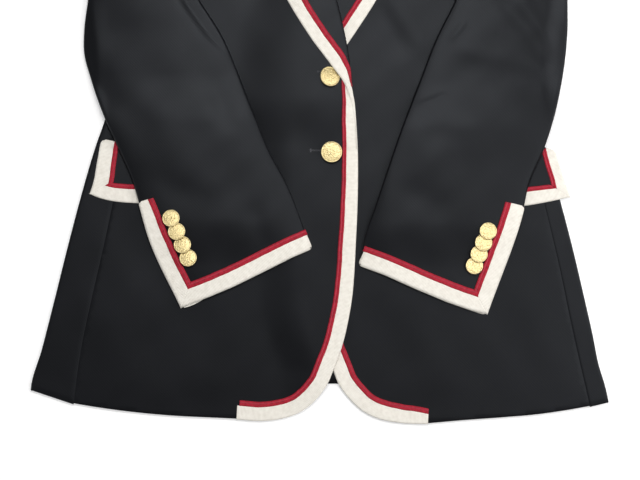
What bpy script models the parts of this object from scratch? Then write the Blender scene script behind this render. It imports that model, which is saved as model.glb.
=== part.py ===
"""Tailored jacket laid flat, face up, its sleeves folded across the fronts.

Metres, +Z up. The jacket lies on z = 0 and the origin is under the middle of its box.
Tables are in millimetres: x across the picture, y up from the hem line, z up from the floor.
Right and left are the wearer's, so the right front is at negative x.
"""
import math

import bpy
import numpy as np
from mathutils import Matrix, Vector
from mathutils.bvhtree import BVHTree
from mathutils.geometry import delaunay_2d_cdt

MM = 0.001
OBJECT_NAME = "tailored_jacket"

# Driving sizes, in millimetres
CLOTH = 1.8
GAP = 0.3
RIBBON = 0.9
BRAID = 1.1
RIBBON_WIDTH = 12.6
SHARP = math.radians(35)
SEAM_DROP = 0.8
BRAID_WIDTH = 4.7
FINE_POINTS = 400
HEM_LOW = -3.3
COLLAR_HIGH = 722.9
Y_SHIFT = (HEM_LOW + COLLAR_HIGH) / 2

# Layers from the floor up: the back, the fronts, then what lies on them
BACK_TOP = CLOTH
FRONT_TOP = 2 * CLOTH + GAP
LAYER = GAP + CLOTH
TRIM = GAP + BRAID
TRIM_LIFT = TRIM + GAP + CLOTH
LAPEL_LIFT = TRIM_LIFT + LAYER

# Linear base colour, roughness and metallic value of each material
LOOKS = {
    "cloth": ((0.014, 0.014, 0.018), 0.85, 0.0),
    "ribbon": ((0.80, 0.75, 0.64), 0.75, 0.0),
    "braid": ((0.46, 0.015, 0.04), 0.7, 0.0),
    "metal": ((0.83, 0.62, 0.25), 0.3, 1.0),
}

# Half of the body's width at each height
BODY_SIDE = [
    # half, y
    (261, 16), (261, 27), (251, 63), (239.5, 108), (226, 162), (216.5, 198), (202, 247.5),
    (193.6, 272), (189, 318), (194, 370), (203, 420), (214, 465), (221, 500),
]
SIDE_SEAM_RIGHT = [(-231, 14), (-217, 60), (-205, 112), (-193.5, 194), (-172, 310), (-183, 400), (-199, 500)]
SIDE_SEAM_LEFT = [(244, 12), (228, 82), (216, 139.5), (204, 190), (174, 310), (184, 400), (199, 500)]
BACK_TURN = 24
SIDE_TOP = 500
SIDE_ROWS = 18
SEAM_FOOT = 14
HEM_CLEAR = 4

# The hem, from each side towards the middle, and the two front edges from the hem to the break
HEM_RIGHT = [(-261, 27), (-243, 19), (-220, 14.4), (-192, 9.9), (-132, 3.6), (-95, 1.8), (-75, 0.9)]
HEM_LEFT = [(261, 16), (227.7, 9.5), (192.6, 4.5), (165.6, 2.2), (128.7, -0.5), (97, -3.3)]
EDGE_RIGHT = [
    (-75, 0.9), (-51, -0.4), (-34, 1.8), (-18, 7.6), (-0.5, 23.1), (6.2, 33), (10.8, 44), (18, 63),
    (26.6, 100), (32, 162), (34.7, 216), (34.2, 243), (32.9, 270), (31.2, 293),
]
EDGE_LEFT = [
    (97, -3.3), (69.8, -1.8), (51.3, 2.2), (38.7, 8.6), (27.5, 19), (18, 31.5), (12.5, 44.5),
    (4, 66), (-5, 100), (-11, 162), (-13.7, 216), (-13.2, 243), (-11.9, 270), (-10.2, 293),
]
BACK_HEM = [(-261, 27), (-228, 25), (-120, 30), (0, 32.5), (120, 29), (228, 20), (261, 16)]
BACK_HEM_REACH = 200
BACK_HEM_POINTS = 9

# Where the right front rises over the left one: start and length of each slope
OVER_LAPEL = (245, 48)
OVER_HEM = (-12, 46)
OVER_TOP = (405, 75)
OVER_SLOPE = 40
LAPEL_SLOPE = 25
OVER_LEAD = 10
OVER_REACH = 95
LATTICE = 15.0

# Each lapel's roll line and free edge, from the break up to the gorge
ROLL_RIGHT = [(31.2, 293), (29.3, 304), (23.4, 338), (14.4, 378), (-31, 557)]
ROLL_LEFT = [(-10.2, 293), (-8.3, 304), (-2.4, 338), (7.4, 378), (39, 557)]
LAPEL_EDGE_RIGHT = [
    (27, 296), (20.4, 304), (11.4, 319), (0, 331), (-16.4, 353), (-28.8, 378), (-62, 440), (-100, 509.6),
]
LAPEL_EDGE_LEFT = [
    (-6, 296), (0.6, 304), (9.6, 319), (21, 331), (37.4, 353), (49.8, 378), (78, 440), (108, 509.6),
]
ROLL_TURN = 5.0
LAPEL_PLACES = (0, 0.2, 0.45, 0.7, 0.88)
NOTCH = (-72, 529)
LEAF = (-95, 545)
GORGE_SHIFT = 8.0
GORGE_RUN = (520, 170)

# Angles round a fold of the cloth, in degrees
FOLD_TURNS = (-90, -40, 0, 40, 90)
SIDE_TURNS = (-90, -45, 0, 45, 90)
COLLAR_TURNS = (180, 135, 90, 45, 0)

# The collar's right half. A row for each section: where it is sewn, its stand, its fold,
# where its fall lands, and its free edge. The last row is the centre back.
COLLAR = [
    # seam x, y, z, stand x, y, z, fold x, y, z, landing x, y, z, edge x, y, z, fold radius
    (-36.3, 554.5, 3.0, -34.5, 555.4, 3.0, -31, 557, 4.05, -72, 529.2, 5.1, -95, 545, 5.1, 1.05),
    (-47.3, 601, 3.0, -45.2, 601.5, 3.0, -42, 602, 4.05, -70, 599, 5.1, -97, 592, 5.1, 1.05),
    (-59, 645, 3.0, -57, 645.7, 3.2, -53, 647, 4.8, -76, 647, 5.1, -101, 642, 5.1, 1.3),
    (-65.5, 680, 3.0, -62.5, 682, 6.5, -57.5, 684, 11, -78, 686, 6.4, -103, 668, 5.1, 2.2),
    (-67.7, 700.3, 2.6, -65.5, 703.5, 9.5, -58, 709, 17, -77, 713, 8.4, -93, 703, 5.4, 2.6),
    (-50, 691.3, 0.9, -47.5, 702, 8, -42, 717, 14, -57, 719, 4.0, -67, 708.5, 0.9, 2.6),
    (-26, 685.3, 0.9, -25.5, 697.5, 5.6, -22, 721, 9, -28, 714, 0.9, -32, 700, 0.9, 2.4),
    (0, 682.8, 0.9, 0, 695.5, 5.0, 0, 722, 6, 0, 711, 0.9, 0, 699, 0.9, 2.4),
]
# Steps between two sections, rows down to the end of the front's neck, and columns before the fall
SECTION_STEPS = 2
FRONT_NECK = 4 * SECTION_STEPS
FALL_START = 2 + len(COLLAR_TURNS)
FRONT_ARMHOLE = [(-199, 500), (-178, 520), (-165, 552), (-162, 592), (-175, 630), (-198, 660)]
BACK_ARMHOLE = [(-197, 500), (-190, 520), (-186, 555), (-186, 600), (-191, 635), (-198, 660)]

# Each sleeve's inner and outer outline, from the cuff to the elbow and from there to the armhole
SLEEVES = {
    "right": {
        "inner": [(-7.2, 154), (-14.4, 172), (-21, 190.6), (-31, 214.7), (-45, 240.5), (-60.4, 278),
                  (-75.9, 318), (-87, 343.6), (-108.5, 378)],
        "outer": [(-125, 101.7), (-153, 162), (-162.9, 196.2), (-167.4, 211.5), (-182.7, 247.5),
                  (-193.6, 271.4), (-206.5, 307.5), (-212.5, 330), (-212.5, 350.5), (-209, 378)],
        "upper_inner": [(-108.5, 378), (-112, 420), (-112, 460), (-118, 500), (-133, 535), (-150, 560)],
        "upper_outer": [(-209, 378), (-214, 430), (-226, 500), (-231, 560), (-226, 610), (-213, 645),
                        (-197, 664)],
    },
    "left": {
        "inner": [(34.9, 139), (37.8, 154), (41.4, 169), (49, 190.8), (60.9, 226.8), (74.7, 266.4),
                  (90, 306), (104, 342), (121, 376)],
        "outer": [(150.3, 95.9), (183.3, 191.7), (187.2, 209.7), (202.8, 247.5), (212.2, 278),
                  (220.5, 321), (223.2, 352), (223.2, 378)],
        "upper_inner": [(121, 376), (125, 420), (124, 460), (126, 500), (136, 535), (150, 560)],
        "upper_outer": [(223.2, 378), (225, 430), (229, 500), (231, 560), (226, 610), (213, 645),
                        (197, 664)],
    },
}
FOLD_RADIUS = CLOTH + 0.4
PUFF = 2.9
PUFF_POWER = 0.7
INSEAM = 22.0
OUTSEAM = 14.0
VENT = 102.0
VENT_POINTS = 9
SLEEVE_STEP = 14
ARMHOLE_STEP = 9
SLEEVE_PLACES = 9
UNDER_COLUMNS = 6

# Past the body's side a sleeve droops: its depth, and the start and length of the slope
DROOP = FRONT_TOP - 0.4
DROOP_RUN = (9, 20)
FLAP_MARGIN = 14
FLAP_SLOPE = 45
CREASE_RUN_OUT = 0.25
# Largest folds of the sleeves, as troughs in the top sleeve
CREASES = {
    "right": [
        # from x, y, to x, y, depth, half width
        (-124, 380, -90, 340, 1.9, 9.0),
        (-205, 300, -150, 262, 1.1, 12.0),
    ],
    "left": [
        (204, 302, 118, 320, 1.2, 12.0),
        (190, 345, 204, 322, 1.7, 9.0),
        (164, 376, 188, 348, 1.7, 9.0),
    ],
}

FLAPS = {
    "right": [(-196, 252), (-206.8, 203.7), (-187, 197.6), (-110, 195.8), (-64, 200), (-66, 252)],
    "left": [(209, 246), (226, 199.5), (184.5, 192), (130, 192.5), (81, 198), (78, 246)],
}

FRONT_BUTTONS = [(9.2, 309.2), (10.4, 241.2)]
CUFF_ROWS = {
    "right": ((-133.7, 181.4), (-118.4, 145.8)),
    "left": ((150.9, 169.9), (138.6, 138.8)),
}
CUFF_BUTTONS = 4
CUFF_TILT = math.radians(14)
FRONT_BUTTON_PROFILE = [
    # radius, height, from the middle of the face round to the foot of the shank
    (0, 7.6), (4.5, 7.3), (7.9, 6.4), (8.6, 6.5), (9.6, 6.2), (10, 5.4), (9.5, 4.4), (3, 2.6), (3, 0), (0, 0),
]
CUFF_BUTTON_PROFILE = [
    (0, 2.2), (4.2, 2.05), (6.6, 1.7), (7.5, 1.7), (7.85, 1.0), (7.4, 0), (2.2, 0), (2.2, -2.8), (0, -2.8),
]
CUFF_LIFT = 3.6
BUTTON_CLEAR = 1.5 * GAP
TRIM_STEP = 10.0
TRIM_ROOM = 3.0


def ease(value):
    """A smooth step from 0 to 1."""
    value = np.clip(value, 0.0, 1.0)
    return value * value * (3 - 2 * value)


def ramp(value, start, length):
    """A smooth step that begins at start."""
    return ease((value - start) / length)


def through(points, step):
    """Points about step apart on a smooth curve through the points given, ends included."""
    points = np.array(points, float)
    chords = np.linalg.norm(np.diff(points, axis=0), axis=1)
    knots = np.concatenate(([0.0], np.cumsum(chords)))
    slopes = np.diff(points, axis=0) / chords[:, None]
    tangents = np.vstack((slopes[:1], slopes[-1:])) if len(points) == 2 else np.empty_like(points)
    if len(points) > 2:
        before, after = chords[:-1, None], chords[1:, None]
        tangents[0], tangents[-1] = slopes[0], slopes[-1]
        tangents[1:-1] = (slopes[:-1] * after + slopes[1:] * before) / (before + after)
    count = step if isinstance(step, int) else max(2, round(knots[-1] / step) + 1)
    places = np.linspace(0, knots[-1], count)
    span = np.clip(np.searchsorted(knots, places, side="right") - 1, 0, len(chords) - 1)
    width = chords[span]
    s = ((places - knots[span]) / width)[:, None]
    width = width[:, None]
    return ((2 * s**3 - 3 * s**2 + 1) * points[span] + (s**3 - 2 * s**2 + s) * width * tangents[span]
            + (3 * s**2 - 2 * s**3) * points[span + 1] + (s**3 - s**2) * width * tangents[span + 1])


def x_at(points):
    """x as a function of y along a curve that always rises."""
    curve = through(points, 6.0)
    return lambda y: np.interp(y, curve[:, 1], curve[:, 0])


def y_at(points):
    """y as a function of x along a curve whose x always grows."""
    curve = through(points, 6.0)
    return lambda x: np.interp(x, curve[:, 0], curve[:, 1])


half_width = x_at(BODY_SIDE)
sleeve_rest = x_at(BODY_SIDE[1:] + [(221, 525), (199, 560), (197, 664)])
under_edge = x_at([point for point in EDGE_LEFT if point[1] >= 44] + ROLL_LEFT[1:])


def front_lift(x, y):
    """How far the right front rises over the left front, its trim and its lapel."""
    over_lapel = ramp(y, *OVER_LAPEL)
    slope = OVER_SLOPE + LAPEL_SLOPE * over_lapel
    across = ramp(x, under_edge(y) - slope - OVER_LEAD, slope)
    along = ramp(y, *OVER_HEM) * (1 - ramp(y, *OVER_TOP))
    return (TRIM_LIFT + (LAPEL_LIFT - TRIM_LIFT) * over_lapel) * across * along


def flap_lift(x, y, side):
    """How far a sleeve rises over the pocket flap beneath it."""
    corners = np.array(FLAPS[side])
    low, high = corners.min(axis=0) - FLAP_MARGIN, corners.max(axis=0) + FLAP_MARGIN
    out_x = np.maximum(np.maximum(low[0] - x, x - high[0]), 0)
    out_y = np.maximum(np.maximum(low[1] - y, y - high[1]), 0)
    return TRIM_LIFT * (1 - ease(np.hypot(out_x, out_y) / FLAP_SLOPE))


def sleeve_floor(x, y, side):
    """Underside of a sleeve: it lies on the front, rises over the flap and droops past the body."""
    flap = flap_lift(x, y, side)
    front = front_lift(x, y) if side == "right" else 0.0
    lift = flap + front - flap * front / TRIM_LIFT
    past = np.abs(x) - sleeve_rest(y)
    droop = DROOP * ramp(past, *DROOP_RUN) * (1 - flap / TRIM_LIFT)
    return FRONT_TOP + GAP + lift - droop


def crease(x, y, side):
    """Depth of the sleeve's folds at a point."""
    depth = 0.0
    for x0, y0, x1, y1, deep, wide in CREASES[side]:
        run = np.array((x1 - x0, y1 - y0))
        reach = np.linalg.norm(run)
        along = ((x - x0) * run[0] + (y - y0) * run[1]) / reach**2
        across = ((x - x0) * run[1] - (y - y0) * run[0]) / reach
        length = 2 * CREASE_RUN_OUT
        ends = ramp(along, -CREASE_RUN_OUT, length) * ramp(1 - along, -CREASE_RUN_OUT, length)
        depth = depth + deep * ends * np.exp(-(across / wide) ** 2)
    return depth


def mirrored(points):
    """The same points on the wearer's left side of the neck, where the fronts lie a little over."""
    points = np.array(points, float)
    shift = GORGE_SHIFT * (1 - ramp(points[..., 1], *GORGE_RUN))
    points[..., 0] = -points[..., 0] + shift
    return points


def material(name, look):
    colour, roughness, metallic = LOOKS[look]
    made = bpy.data.materials.new(f"{name}_{look}")
    made.use_nodes = True
    shader = made.node_tree.nodes["Principled BSDF"]
    shader.inputs["Base Color"].default_value = (*colour, 1)
    shader.inputs["Roughness"].default_value = roughness
    shader.inputs["Metallic"].default_value = metallic
    made.diffuse_color = (*colour, 1)
    return made


def new_object(name, mesh, look, collection):
    mesh.materials.append(material(name, look))
    made = bpy.data.objects.new(name, mesh)
    collection.objects.link(made)
    return made


def surface_object(name, points, faces, look, collection):
    """An open surface from points in millimetres of the tables."""
    points = np.array(points, float)
    points[:, 1] -= Y_SHIFT
    mesh = bpy.data.meshes.new(name)
    mesh.from_pydata((points * MM).tolist(), [], faces)
    mesh.shade_smooth()
    return new_object(name, mesh, look, collection)


def thicken(made, thickness, offset, even=False):
    """Turn an open surface into a wall: offset -1 is inwards, 0 both ways and 1 outwards."""
    shell = made.modifiers.new("wall", "SOLIDIFY")
    shell.thickness = thickness * MM
    shell.offset = offset
    shell.use_even_offset = even
    shell.thickness_clamp = 0.0


def grid_faces(rows, columns, flip=False):
    faces = []
    for row in range(rows - 1):
        for column in range(columns - 1):
            corner = row * columns + column
            face = (corner, corner + 1, corner + columns + 1, corner + columns)
            faces.append(face[::-1] if flip else face)
    return faces


class Carrier:
    """A laid surface that other pieces lie on."""

    def __init__(self, points, faces):
        self.points = np.array(points, float)
        self.tree = BVHTree.FromPolygons(self.points.tolist(), faces)

    def top(self, x, y):
        hit = self.tree.ray_cast(Vector((x, y, 200)), Vector((0, 0, -1)))[0]
        if hit is None:
            nearest = self.points[np.argmin(np.hypot(self.points[:, 0] - x, self.points[:, 1] - y))]
            hit = self.tree.find_nearest(Vector((x, y, nearest[2])))[0]
        return hit.z


def triangulate(outline, spacing, bends):
    """Triangles inside an outline, with a lattice of inner points where bends(x, y) holds."""
    outline = np.array(outline, float)
    points = [Vector(point) for point in outline]
    edges = [(i, (i + 1) % len(outline)) for i in range(len(outline))]
    if spacing:
        low, high = outline.min(axis=0), outline.max(axis=0)
        starts, ends = outline, np.roll(outline, -1, axis=0)
        for y in np.arange(low[1] + spacing / 2, high[1], spacing):
            crossing = (starts[:, 1] > y) != (ends[:, 1] > y)
            share = (y - starts[crossing, 1]) / (ends[crossing, 1] - starts[crossing, 1])
            cuts = np.sort(starts[crossing, 0] + share * (ends[crossing, 0] - starts[crossing, 0]))
            for x0, x1 in zip(cuts[::2], cuts[1::2]):
                for x in np.arange(low[0] + spacing / 2, high[0], spacing):
                    edge_distance = np.hypot(*(outline - (x, y)).T).min()
                    if x0 < x < x1 and edge_distance > 0.55 * spacing and bends(x, y):
                        points.append(Vector((x, y)))
    made, _, faces, *_ = delaunay_2d_cdt(points, edges, [], 1, 1e-4)
    return [tuple(point) for point in made], [tuple(face) for face in faces]


def panel(name, outline, top, collection, spacing=None, bends=None):
    """A laid cloth panel with its upper face at height top(x, y)."""
    flat, faces = triangulate(outline, spacing, bends)
    points = [(x, y, float(top(x, y))) for x, y in flat]
    made = surface_object(name, points, faces, "cloth", collection)
    thicken(made, CLOTH, -1)
    return Carrier(points, faces)


def inward_offset(path, side, inset):
    """The path moved sideways, mitred at its corners; side 1 is to the left of its run."""
    path = np.array(path, float)
    runs = np.diff(path, axis=0)
    runs /= np.linalg.norm(runs, axis=1)[:, None]
    normals = side * np.column_stack((-runs[:, 1], runs[:, 0]))
    joined = np.vstack((normals[:1], normals[:-1] + normals[1:], normals[-1:]))
    joined /= np.linalg.norm(joined, axis=1)[:, None]
    spread = np.concatenate(([1.0], (joined[1:-1] * normals[1:]).sum(axis=1), [1.0]))
    return path + joined * (np.asarray(inset) / spread)[:, None]


def strip(name, path, side, near, far, carrier, thickness, look, collection, room=None):
    """A ribbon along the inner side of an edge, lying on its carrier."""
    path = np.array(path, float)
    reach = np.full(len(path), 1e9) if room is None else np.array([room(*point) for point in path])
    keep = reach > near + 1.0
    rows = [inward_offset(path, side, np.minimum(inset, reach))[keep] for inset in (far, near)]
    points = [(x, y, carrier.top(x, y) + GAP) for row in rows for x, y in row]
    faces = grid_faces(2, int(keep.sum()), flip=side > 0)
    made = surface_object(name, points, faces, look, collection)
    thicken(made, thickness, 1)


def clear_corners(path, inset):
    """The path without the points that a mitre of this inset would pass."""
    path = np.array(path, float)
    runs = np.diff(path, axis=0)
    turns = np.concatenate(([0], np.arccos(np.clip(
        (runs[:-1] * runs[1:]).sum(axis=1) / np.linalg.norm(runs[:-1], axis=1)
        / np.linalg.norm(runs[1:], axis=1), -1, 1)), [0]))
    corners = np.flatnonzero(turns > SHARP)
    keep = np.ones(len(path), bool)
    for corner in corners:
        near = np.linalg.norm(path - path[corner], axis=1) < inset * math.tan(turns[corner] / 2) + 1
        keep &= ~near | (turns > SHARP)
    keep[[0, -1]] = True
    return path[keep]


def trim(kind, path, side, carrier, collection, room=None):
    """Ivory ribbon along an edge with the red braid beside it."""
    path = clear_corners(path, RIBBON_WIDTH + GAP + BRAID_WIDTH)
    strip(f"ribbon_{kind}", path, side, 0.0, RIBBON_WIDTH, carrier, RIBBON, "ribbon", collection, room)
    near = RIBBON_WIDTH + GAP
    far = near + BRAID_WIDTH
    strip(f"braid_{kind}", path, side, near, far, carrier, BRAID, "braid", collection, room)


def unit(vector):
    return vector / np.linalg.norm(vector)


def collar_sections():
    """The collar's right half: each section runs from its seam over its fold to its free edge."""
    sections = []
    for row in COLLAR:
        seam, stand, fold, landing, edge = np.array(row[:15]).reshape(5, 3)
        radius = row[15]
        up_stand, up_fall = unit(fold - stand), unit(fold - landing)
        outwards = unit(up_stand + up_fall) if np.dot(up_stand, up_fall) > -0.99 else up_stand
        apart = unit(up_fall - np.dot(up_fall, outwards) * outwards)
        if sections == []:
            outwards = unit(fold * (1, 1, 0) - seam * (1, 1, 0))
            apart = np.array((0, 0, -1.0))
        centre = fold - radius * outwards
        arc = [centre + radius * (math.cos(turn) * apart + math.sin(turn) * outwards)
               for turn in np.radians(COLLAR_TURNS)]
        first = arc[0]
        last = arc[-1]
        if np.linalg.norm(first - stand) > np.linalg.norm(last - stand):
            arc = arc[::-1]
        fall = [(arc[-1] * 0.5 + landing * 0.5), landing, (landing + edge) * 0.5, edge]
        sections.append([seam, stand, *arc, *fall])
    return np.array(sections)


def add_collar(collection):
    right = collar_sections()
    left = right.copy()
    left[..., :2] = mirrored(right[..., :2])
    whole = np.concatenate((right, left[-2::-1]))
    columns = [through_rows(whole[:, column], SECTION_STEPS) for column in range(whole.shape[1])]
    grid = np.stack(columns, axis=1)
    grid[..., 2] = np.maximum(grid[..., 2], (CLOTH + GAP) / 2)
    rows, width = grid.shape[:2]
    faces = grid_faces(rows, width)
    points = grid.reshape(-1, 3)
    made = surface_object("collar", points, faces, "cloth", collection)
    thicken(made, CLOTH, 0)
    fall = grid[:, FALL_START:] + (0, 0, CLOTH / 2)
    return Carrier(fall.reshape(-1, 3), grid_faces(rows, fall.shape[1])), grid


def through_rows(points, divisions):
    """A smooth curve through points with the same number of steps in each span."""
    points = np.array(points, float)
    tangents = np.gradient(points, axis=0)
    made = []
    for start in range(len(points) - 1):
        for step in range(divisions):
            s = step / divisions
            made.append((2 * s**3 - 3 * s**2 + 1) * points[start] + (s**3 - 2 * s**2 + s) * tangents[start]
                        + (3 * s**2 - 2 * s**3) * points[start + 1] + (s**3 - s**2) * tangents[start + 1])
    made.append(points[-1])
    return np.array(made)


def lapel_rows(roll, edge, rows=16):
    """Matched points of the roll line and the free edge, the last just short of the gorge."""
    roll = through(roll, FINE_POINTS)
    edge = through(edge, FINE_POINTS)
    picks = np.linspace(0, FINE_POINTS - 1, rows).astype(int)
    roll, edge = roll[picks].copy(), edge[picks].copy()
    roll[-1, 1] -= SEAM_DROP
    edge[-1, 1] -= SEAM_DROP
    return roll, edge


def add_lapel(side, roll, edge, front, collection):
    """A lapel that folds over at the roll line and turns under it to meet the front."""
    points = []
    for q, e in zip(roll, edge):
        across = q - e
        width = np.linalg.norm(across)
        across = across / width
        level = front.top(*(q - across * ROLL_TURN)) + GAP / 2
        radius = GAP / 2 + CLOTH / 2
        for share in LAPEL_PLACES:
            x, y = e + across * share * (width - radius)
            points.append((x, y, front.top(x, y) + GAP + CLOTH / 2))
        for turn in np.radians(FOLD_TURNS[::-1]):
            x, y = q + across * radius * (math.cos(turn) - 1)
            points.append((x, y, level + radius * math.sin(turn)))
        x, y = q - across * ROLL_TURN
        points.append((x, y, level - radius))
    columns = len(points) // len(roll)
    faces = grid_faces(len(roll), columns, flip=side == "left")
    made = surface_object(f"lapel_{side}", points, faces, "cloth", collection)
    thicken(made, CLOTH, 0)
    laid = len(LAPEL_PLACES) + 1
    top = np.array(points).reshape(len(roll), columns, 3)[:, :laid] + (0, 0, CLOTH / 2)
    return Carrier(top.reshape(-1, 3), grid_faces(len(roll), laid))


def front_outline(side, roll, edge, collar_seam):
    """Outline of a front: side seam, hem, front edge, roll line, neck, shoulder and armhole."""
    right = side == "right"
    sign = -1 if right else 1
    seam = side_seam(side) - np.array((sign * GAP, 0))
    hem = HEM_RIGHT if right else HEM_LEFT
    hem = [point for point in through(hem, 14.0) if abs(point[0]) < abs(seam[0, 0]) - HEM_CLEAR]
    front_edge = through(EDGE_RIGHT if right else EDGE_LEFT, 11.0)
    turned = []
    for q, e in zip(roll, edge):
        across = (q - e) / np.linalg.norm(q - e)
        turned.append(q - across * (ROLL_TURN + GAP))
    neck = collar_seam + np.array((sign * SEAM_DROP, 0))
    armhole = np.array(FRONT_ARMHOLE, float)
    if not right:
        armhole[:, 0] *= -1
    armhole[0] = seam[-1]
    armhole = through(armhole, 18.0)
    outline = [seam[0], *hem, *front_edge[1:-1], *turned, *neck, *armhole[::-1], *seam[-2:0:-1]]
    return outline


def side_seam(side):
    """Points of the seam between the front and the side panel, a row for each of the panel's."""
    right = side == "right"
    seam = x_at(SIDE_SEAM_RIGHT if right else SIDE_SEAM_LEFT)
    hem = y_at(HEM_RIGHT if right else HEM_LEFT[::-1])
    low = float(hem(seam(SEAM_FOOT)))
    heights = low + (SIDE_TOP - low) * np.linspace(0, 1, SIDE_ROWS)
    return np.column_stack((seam(heights), heights))


def add_side(side, collection):
    """The side panel, folded round the body's side: from the back seam under it to the front seam."""
    sign = -1 if side == "right" else 1
    front_seam = side_seam(side)
    hem_corner = HEM_RIGHT[0] if side == "right" else HEM_LEFT[0]
    back_hem = y_at(BACK_HEM)
    fold = FRONT_TOP / 2
    radius = fold - CLOTH / 2
    points = []
    for share, (seam_x, seam_y) in zip(np.linspace(0, 1, SIDE_ROWS), front_seam):
        low = float(back_hem(sign * (hem_corner[0] * sign - BACK_TURN)))
        back_y = low + (SIDE_TOP - low) * share
        back_x = float(half_width(back_y)) - BACK_TURN
        points.append((sign * back_x, back_y, CLOTH / 2))
        y = hem_corner[1] + (SIDE_TOP - hem_corner[1]) * share
        wide = float(half_width(y)) - CLOTH / 2 - radius
        for angle in np.radians(SIDE_TURNS):
            points.append((sign * (wide + radius * math.cos(angle)), y, fold + radius * math.sin(angle)))
        points.append((seam_x, seam_y, FRONT_TOP - CLOTH / 2))
    faces = grid_faces(SIDE_ROWS, len(SIDE_TURNS) + 2, flip=side == "right")
    made = surface_object(f"side_{side}", points, faces, "cloth", collection)
    thicken(made, CLOTH, 0)


def add_back(side, neck, collection):
    sign = -1 if side == "right" else 1
    hem = y_at(BACK_HEM)
    low = float(hem(sign * (half_width(BACK_HEM[0][1]) - BACK_TURN)))
    ys = low + (SIDE_TOP - low) * np.linspace(0, 1, SIDE_ROWS)
    seam = [(sign * (float(half_width(y)) - BACK_TURN - GAP), y) for y in ys]
    reaches = np.linspace(sign * BACK_HEM_REACH, sign * GAP / 2, BACK_HEM_POINTS)
    hem_line = [(x, float(hem(x))) for x in reaches]
    armhole = through(BACK_ARMHOLE, 16.0) * ((1, 1) if side == "right" else (-1, 1))
    neck = [(sign * abs(x) if abs(x) > 1 else sign * GAP / 2, y - SEAM_DROP) for x, y in neck]
    outline = [seam[0], *hem_line, *neck, *armhole[::-1], *seam[-2:0:-1]]
    panel(f"back_{side}", outline, lambda x, y: BACK_TOP, collection)


def sleeve_outline(side):
    """Matched inner and outer points of a sleeve, from its cuff to its armhole."""
    table = SLEEVES[side]
    lower = [through(table[key], SLEEVE_STEP) for key in ("inner", "outer")]
    upper = [through(table[key], ARMHOLE_STEP) for key in ("upper_inner", "upper_outer")]
    return [np.vstack((low, high[1:])) for low, high in zip(lower, upper)]


def add_sleeve(side, collection):
    """A two-piece sleeve: the top one folds round both sides and the under one joins its edges."""
    inner, outer = sleeve_outline(side)
    angles = np.radians(FOLD_TURNS)
    face = slice(len(FOLD_TURNS) + 1, -len(FOLD_TURNS))
    top_points, under_points, face_points = [], [], []
    for row, (i, o) in enumerate(zip(inner, outer)):
        width = np.linalg.norm(o - i)
        across = (o - i) / width

        def place(reach, level, floor_reach=None):
            x, y = i + across * reach
            base = sleeve_floor(*(i + across * (reach if floor_reach is None else floor_reach)), side)
            return (x, y, float(base) + level)

        section = [place(INSEAM, 0), place(INSEAM / 2, 0)]
        section += [place(FOLD_RADIUS * (1 - math.cos(a)), FOLD_RADIUS * (1 + math.sin(a)), FOLD_RADIUS)
                    for a in angles]
        for share in np.linspace(0, 1, SLEEVE_PLACES)[1:-1]:
            reach = FOLD_RADIUS + share * (width - 2 * FOLD_RADIUS)
            x, y = i + across * reach
            swell = PUFF * math.sin(math.pi * share) ** PUFF_POWER
            sink = min(crease(x, y, side), swell)
            section.append(place(reach, 2 * FOLD_RADIUS + swell - sink))
        section += [place(width - FOLD_RADIUS * (1 - math.cos(a)), FOLD_RADIUS * (1 + math.sin(a)),
                          width - FOLD_RADIUS) for a in angles[::-1]]
        section += [place(width - OUTSEAM, 0)]
        top_points.extend(section)
        face_points.extend(section[face])
        under = np.linspace(INSEAM + GAP, width - OUTSEAM - GAP, UNDER_COLUMNS)
        under_points.extend([place(reach, CLOTH / 2) for reach in under])
    rows = len(inner)
    columns = len(top_points) // rows
    flip = side == "right"
    made = surface_object(f"top_sleeve_{side}", top_points, grid_faces(rows, columns, flip), "cloth",
                          collection)
    thicken(made, CLOTH, -1)
    made = surface_object(f"under_sleeve_{side}", under_points, grid_faces(rows, UNDER_COLUMNS, flip),
                          "cloth", collection)
    thicken(made, CLOTH, 0)
    return Carrier(face_points, grid_faces(rows, len(face_points) // rows)), inner, outer


def cuff_path(side, inner, outer):
    """The trimmed edge: along the cuff from the inner fold, then up the vent."""
    start = inner[0] + unit(outer[0] - inner[0]) * FOLD_RADIUS
    corner = outer[0] + unit(inner[0] - outer[0]) * FOLD_RADIUS
    cuff = through([start, corner], 12.0)
    vent = through(SLEEVES[side]["outer"], 1.0)
    length = np.concatenate(([0.0], np.cumsum(np.linalg.norm(np.diff(vent, axis=0), axis=1))))
    picks = [int(np.searchsorted(length, reach)) for reach in np.linspace(0, VENT, VENT_POINTS)]
    vent = inward_offset(vent, 1 if side == "left" else -1, np.full(len(vent), FOLD_RADIUS))[picks]
    return np.vstack((cuff, vent[1:]))


def turned_button(name, profile, steps, collection):
    """A button turned about z from its profile, face up."""
    mesh = bpy.data.meshes.new(name)
    points = [(radius * MM, 0, height * MM) for radius, height in profile]
    mesh.from_pydata(points, [(i, i + 1) for i in range(len(points) - 1)], [])
    made = new_object(name, mesh, "metal", collection)
    screw = made.modifiers.new("turn", "SCREW")
    screw.steps = steps
    screw.render_steps = steps
    screw.use_merge_vertices = True
    screw.merge_threshold = 1e-6
    screw.use_normal_calculate = False
    return made


def add_front_buttons(front, collection):
    for number, (x, y) in enumerate(FRONT_BUTTONS, 1):
        made = turned_button(f"front_button_{number}", FRONT_BUTTON_PROFILE, 16, collection)
        made.location = (x * MM, (y - Y_SHIFT) * MM, (front.top(x, y) + BUTTON_CLEAR) * MM)


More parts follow.
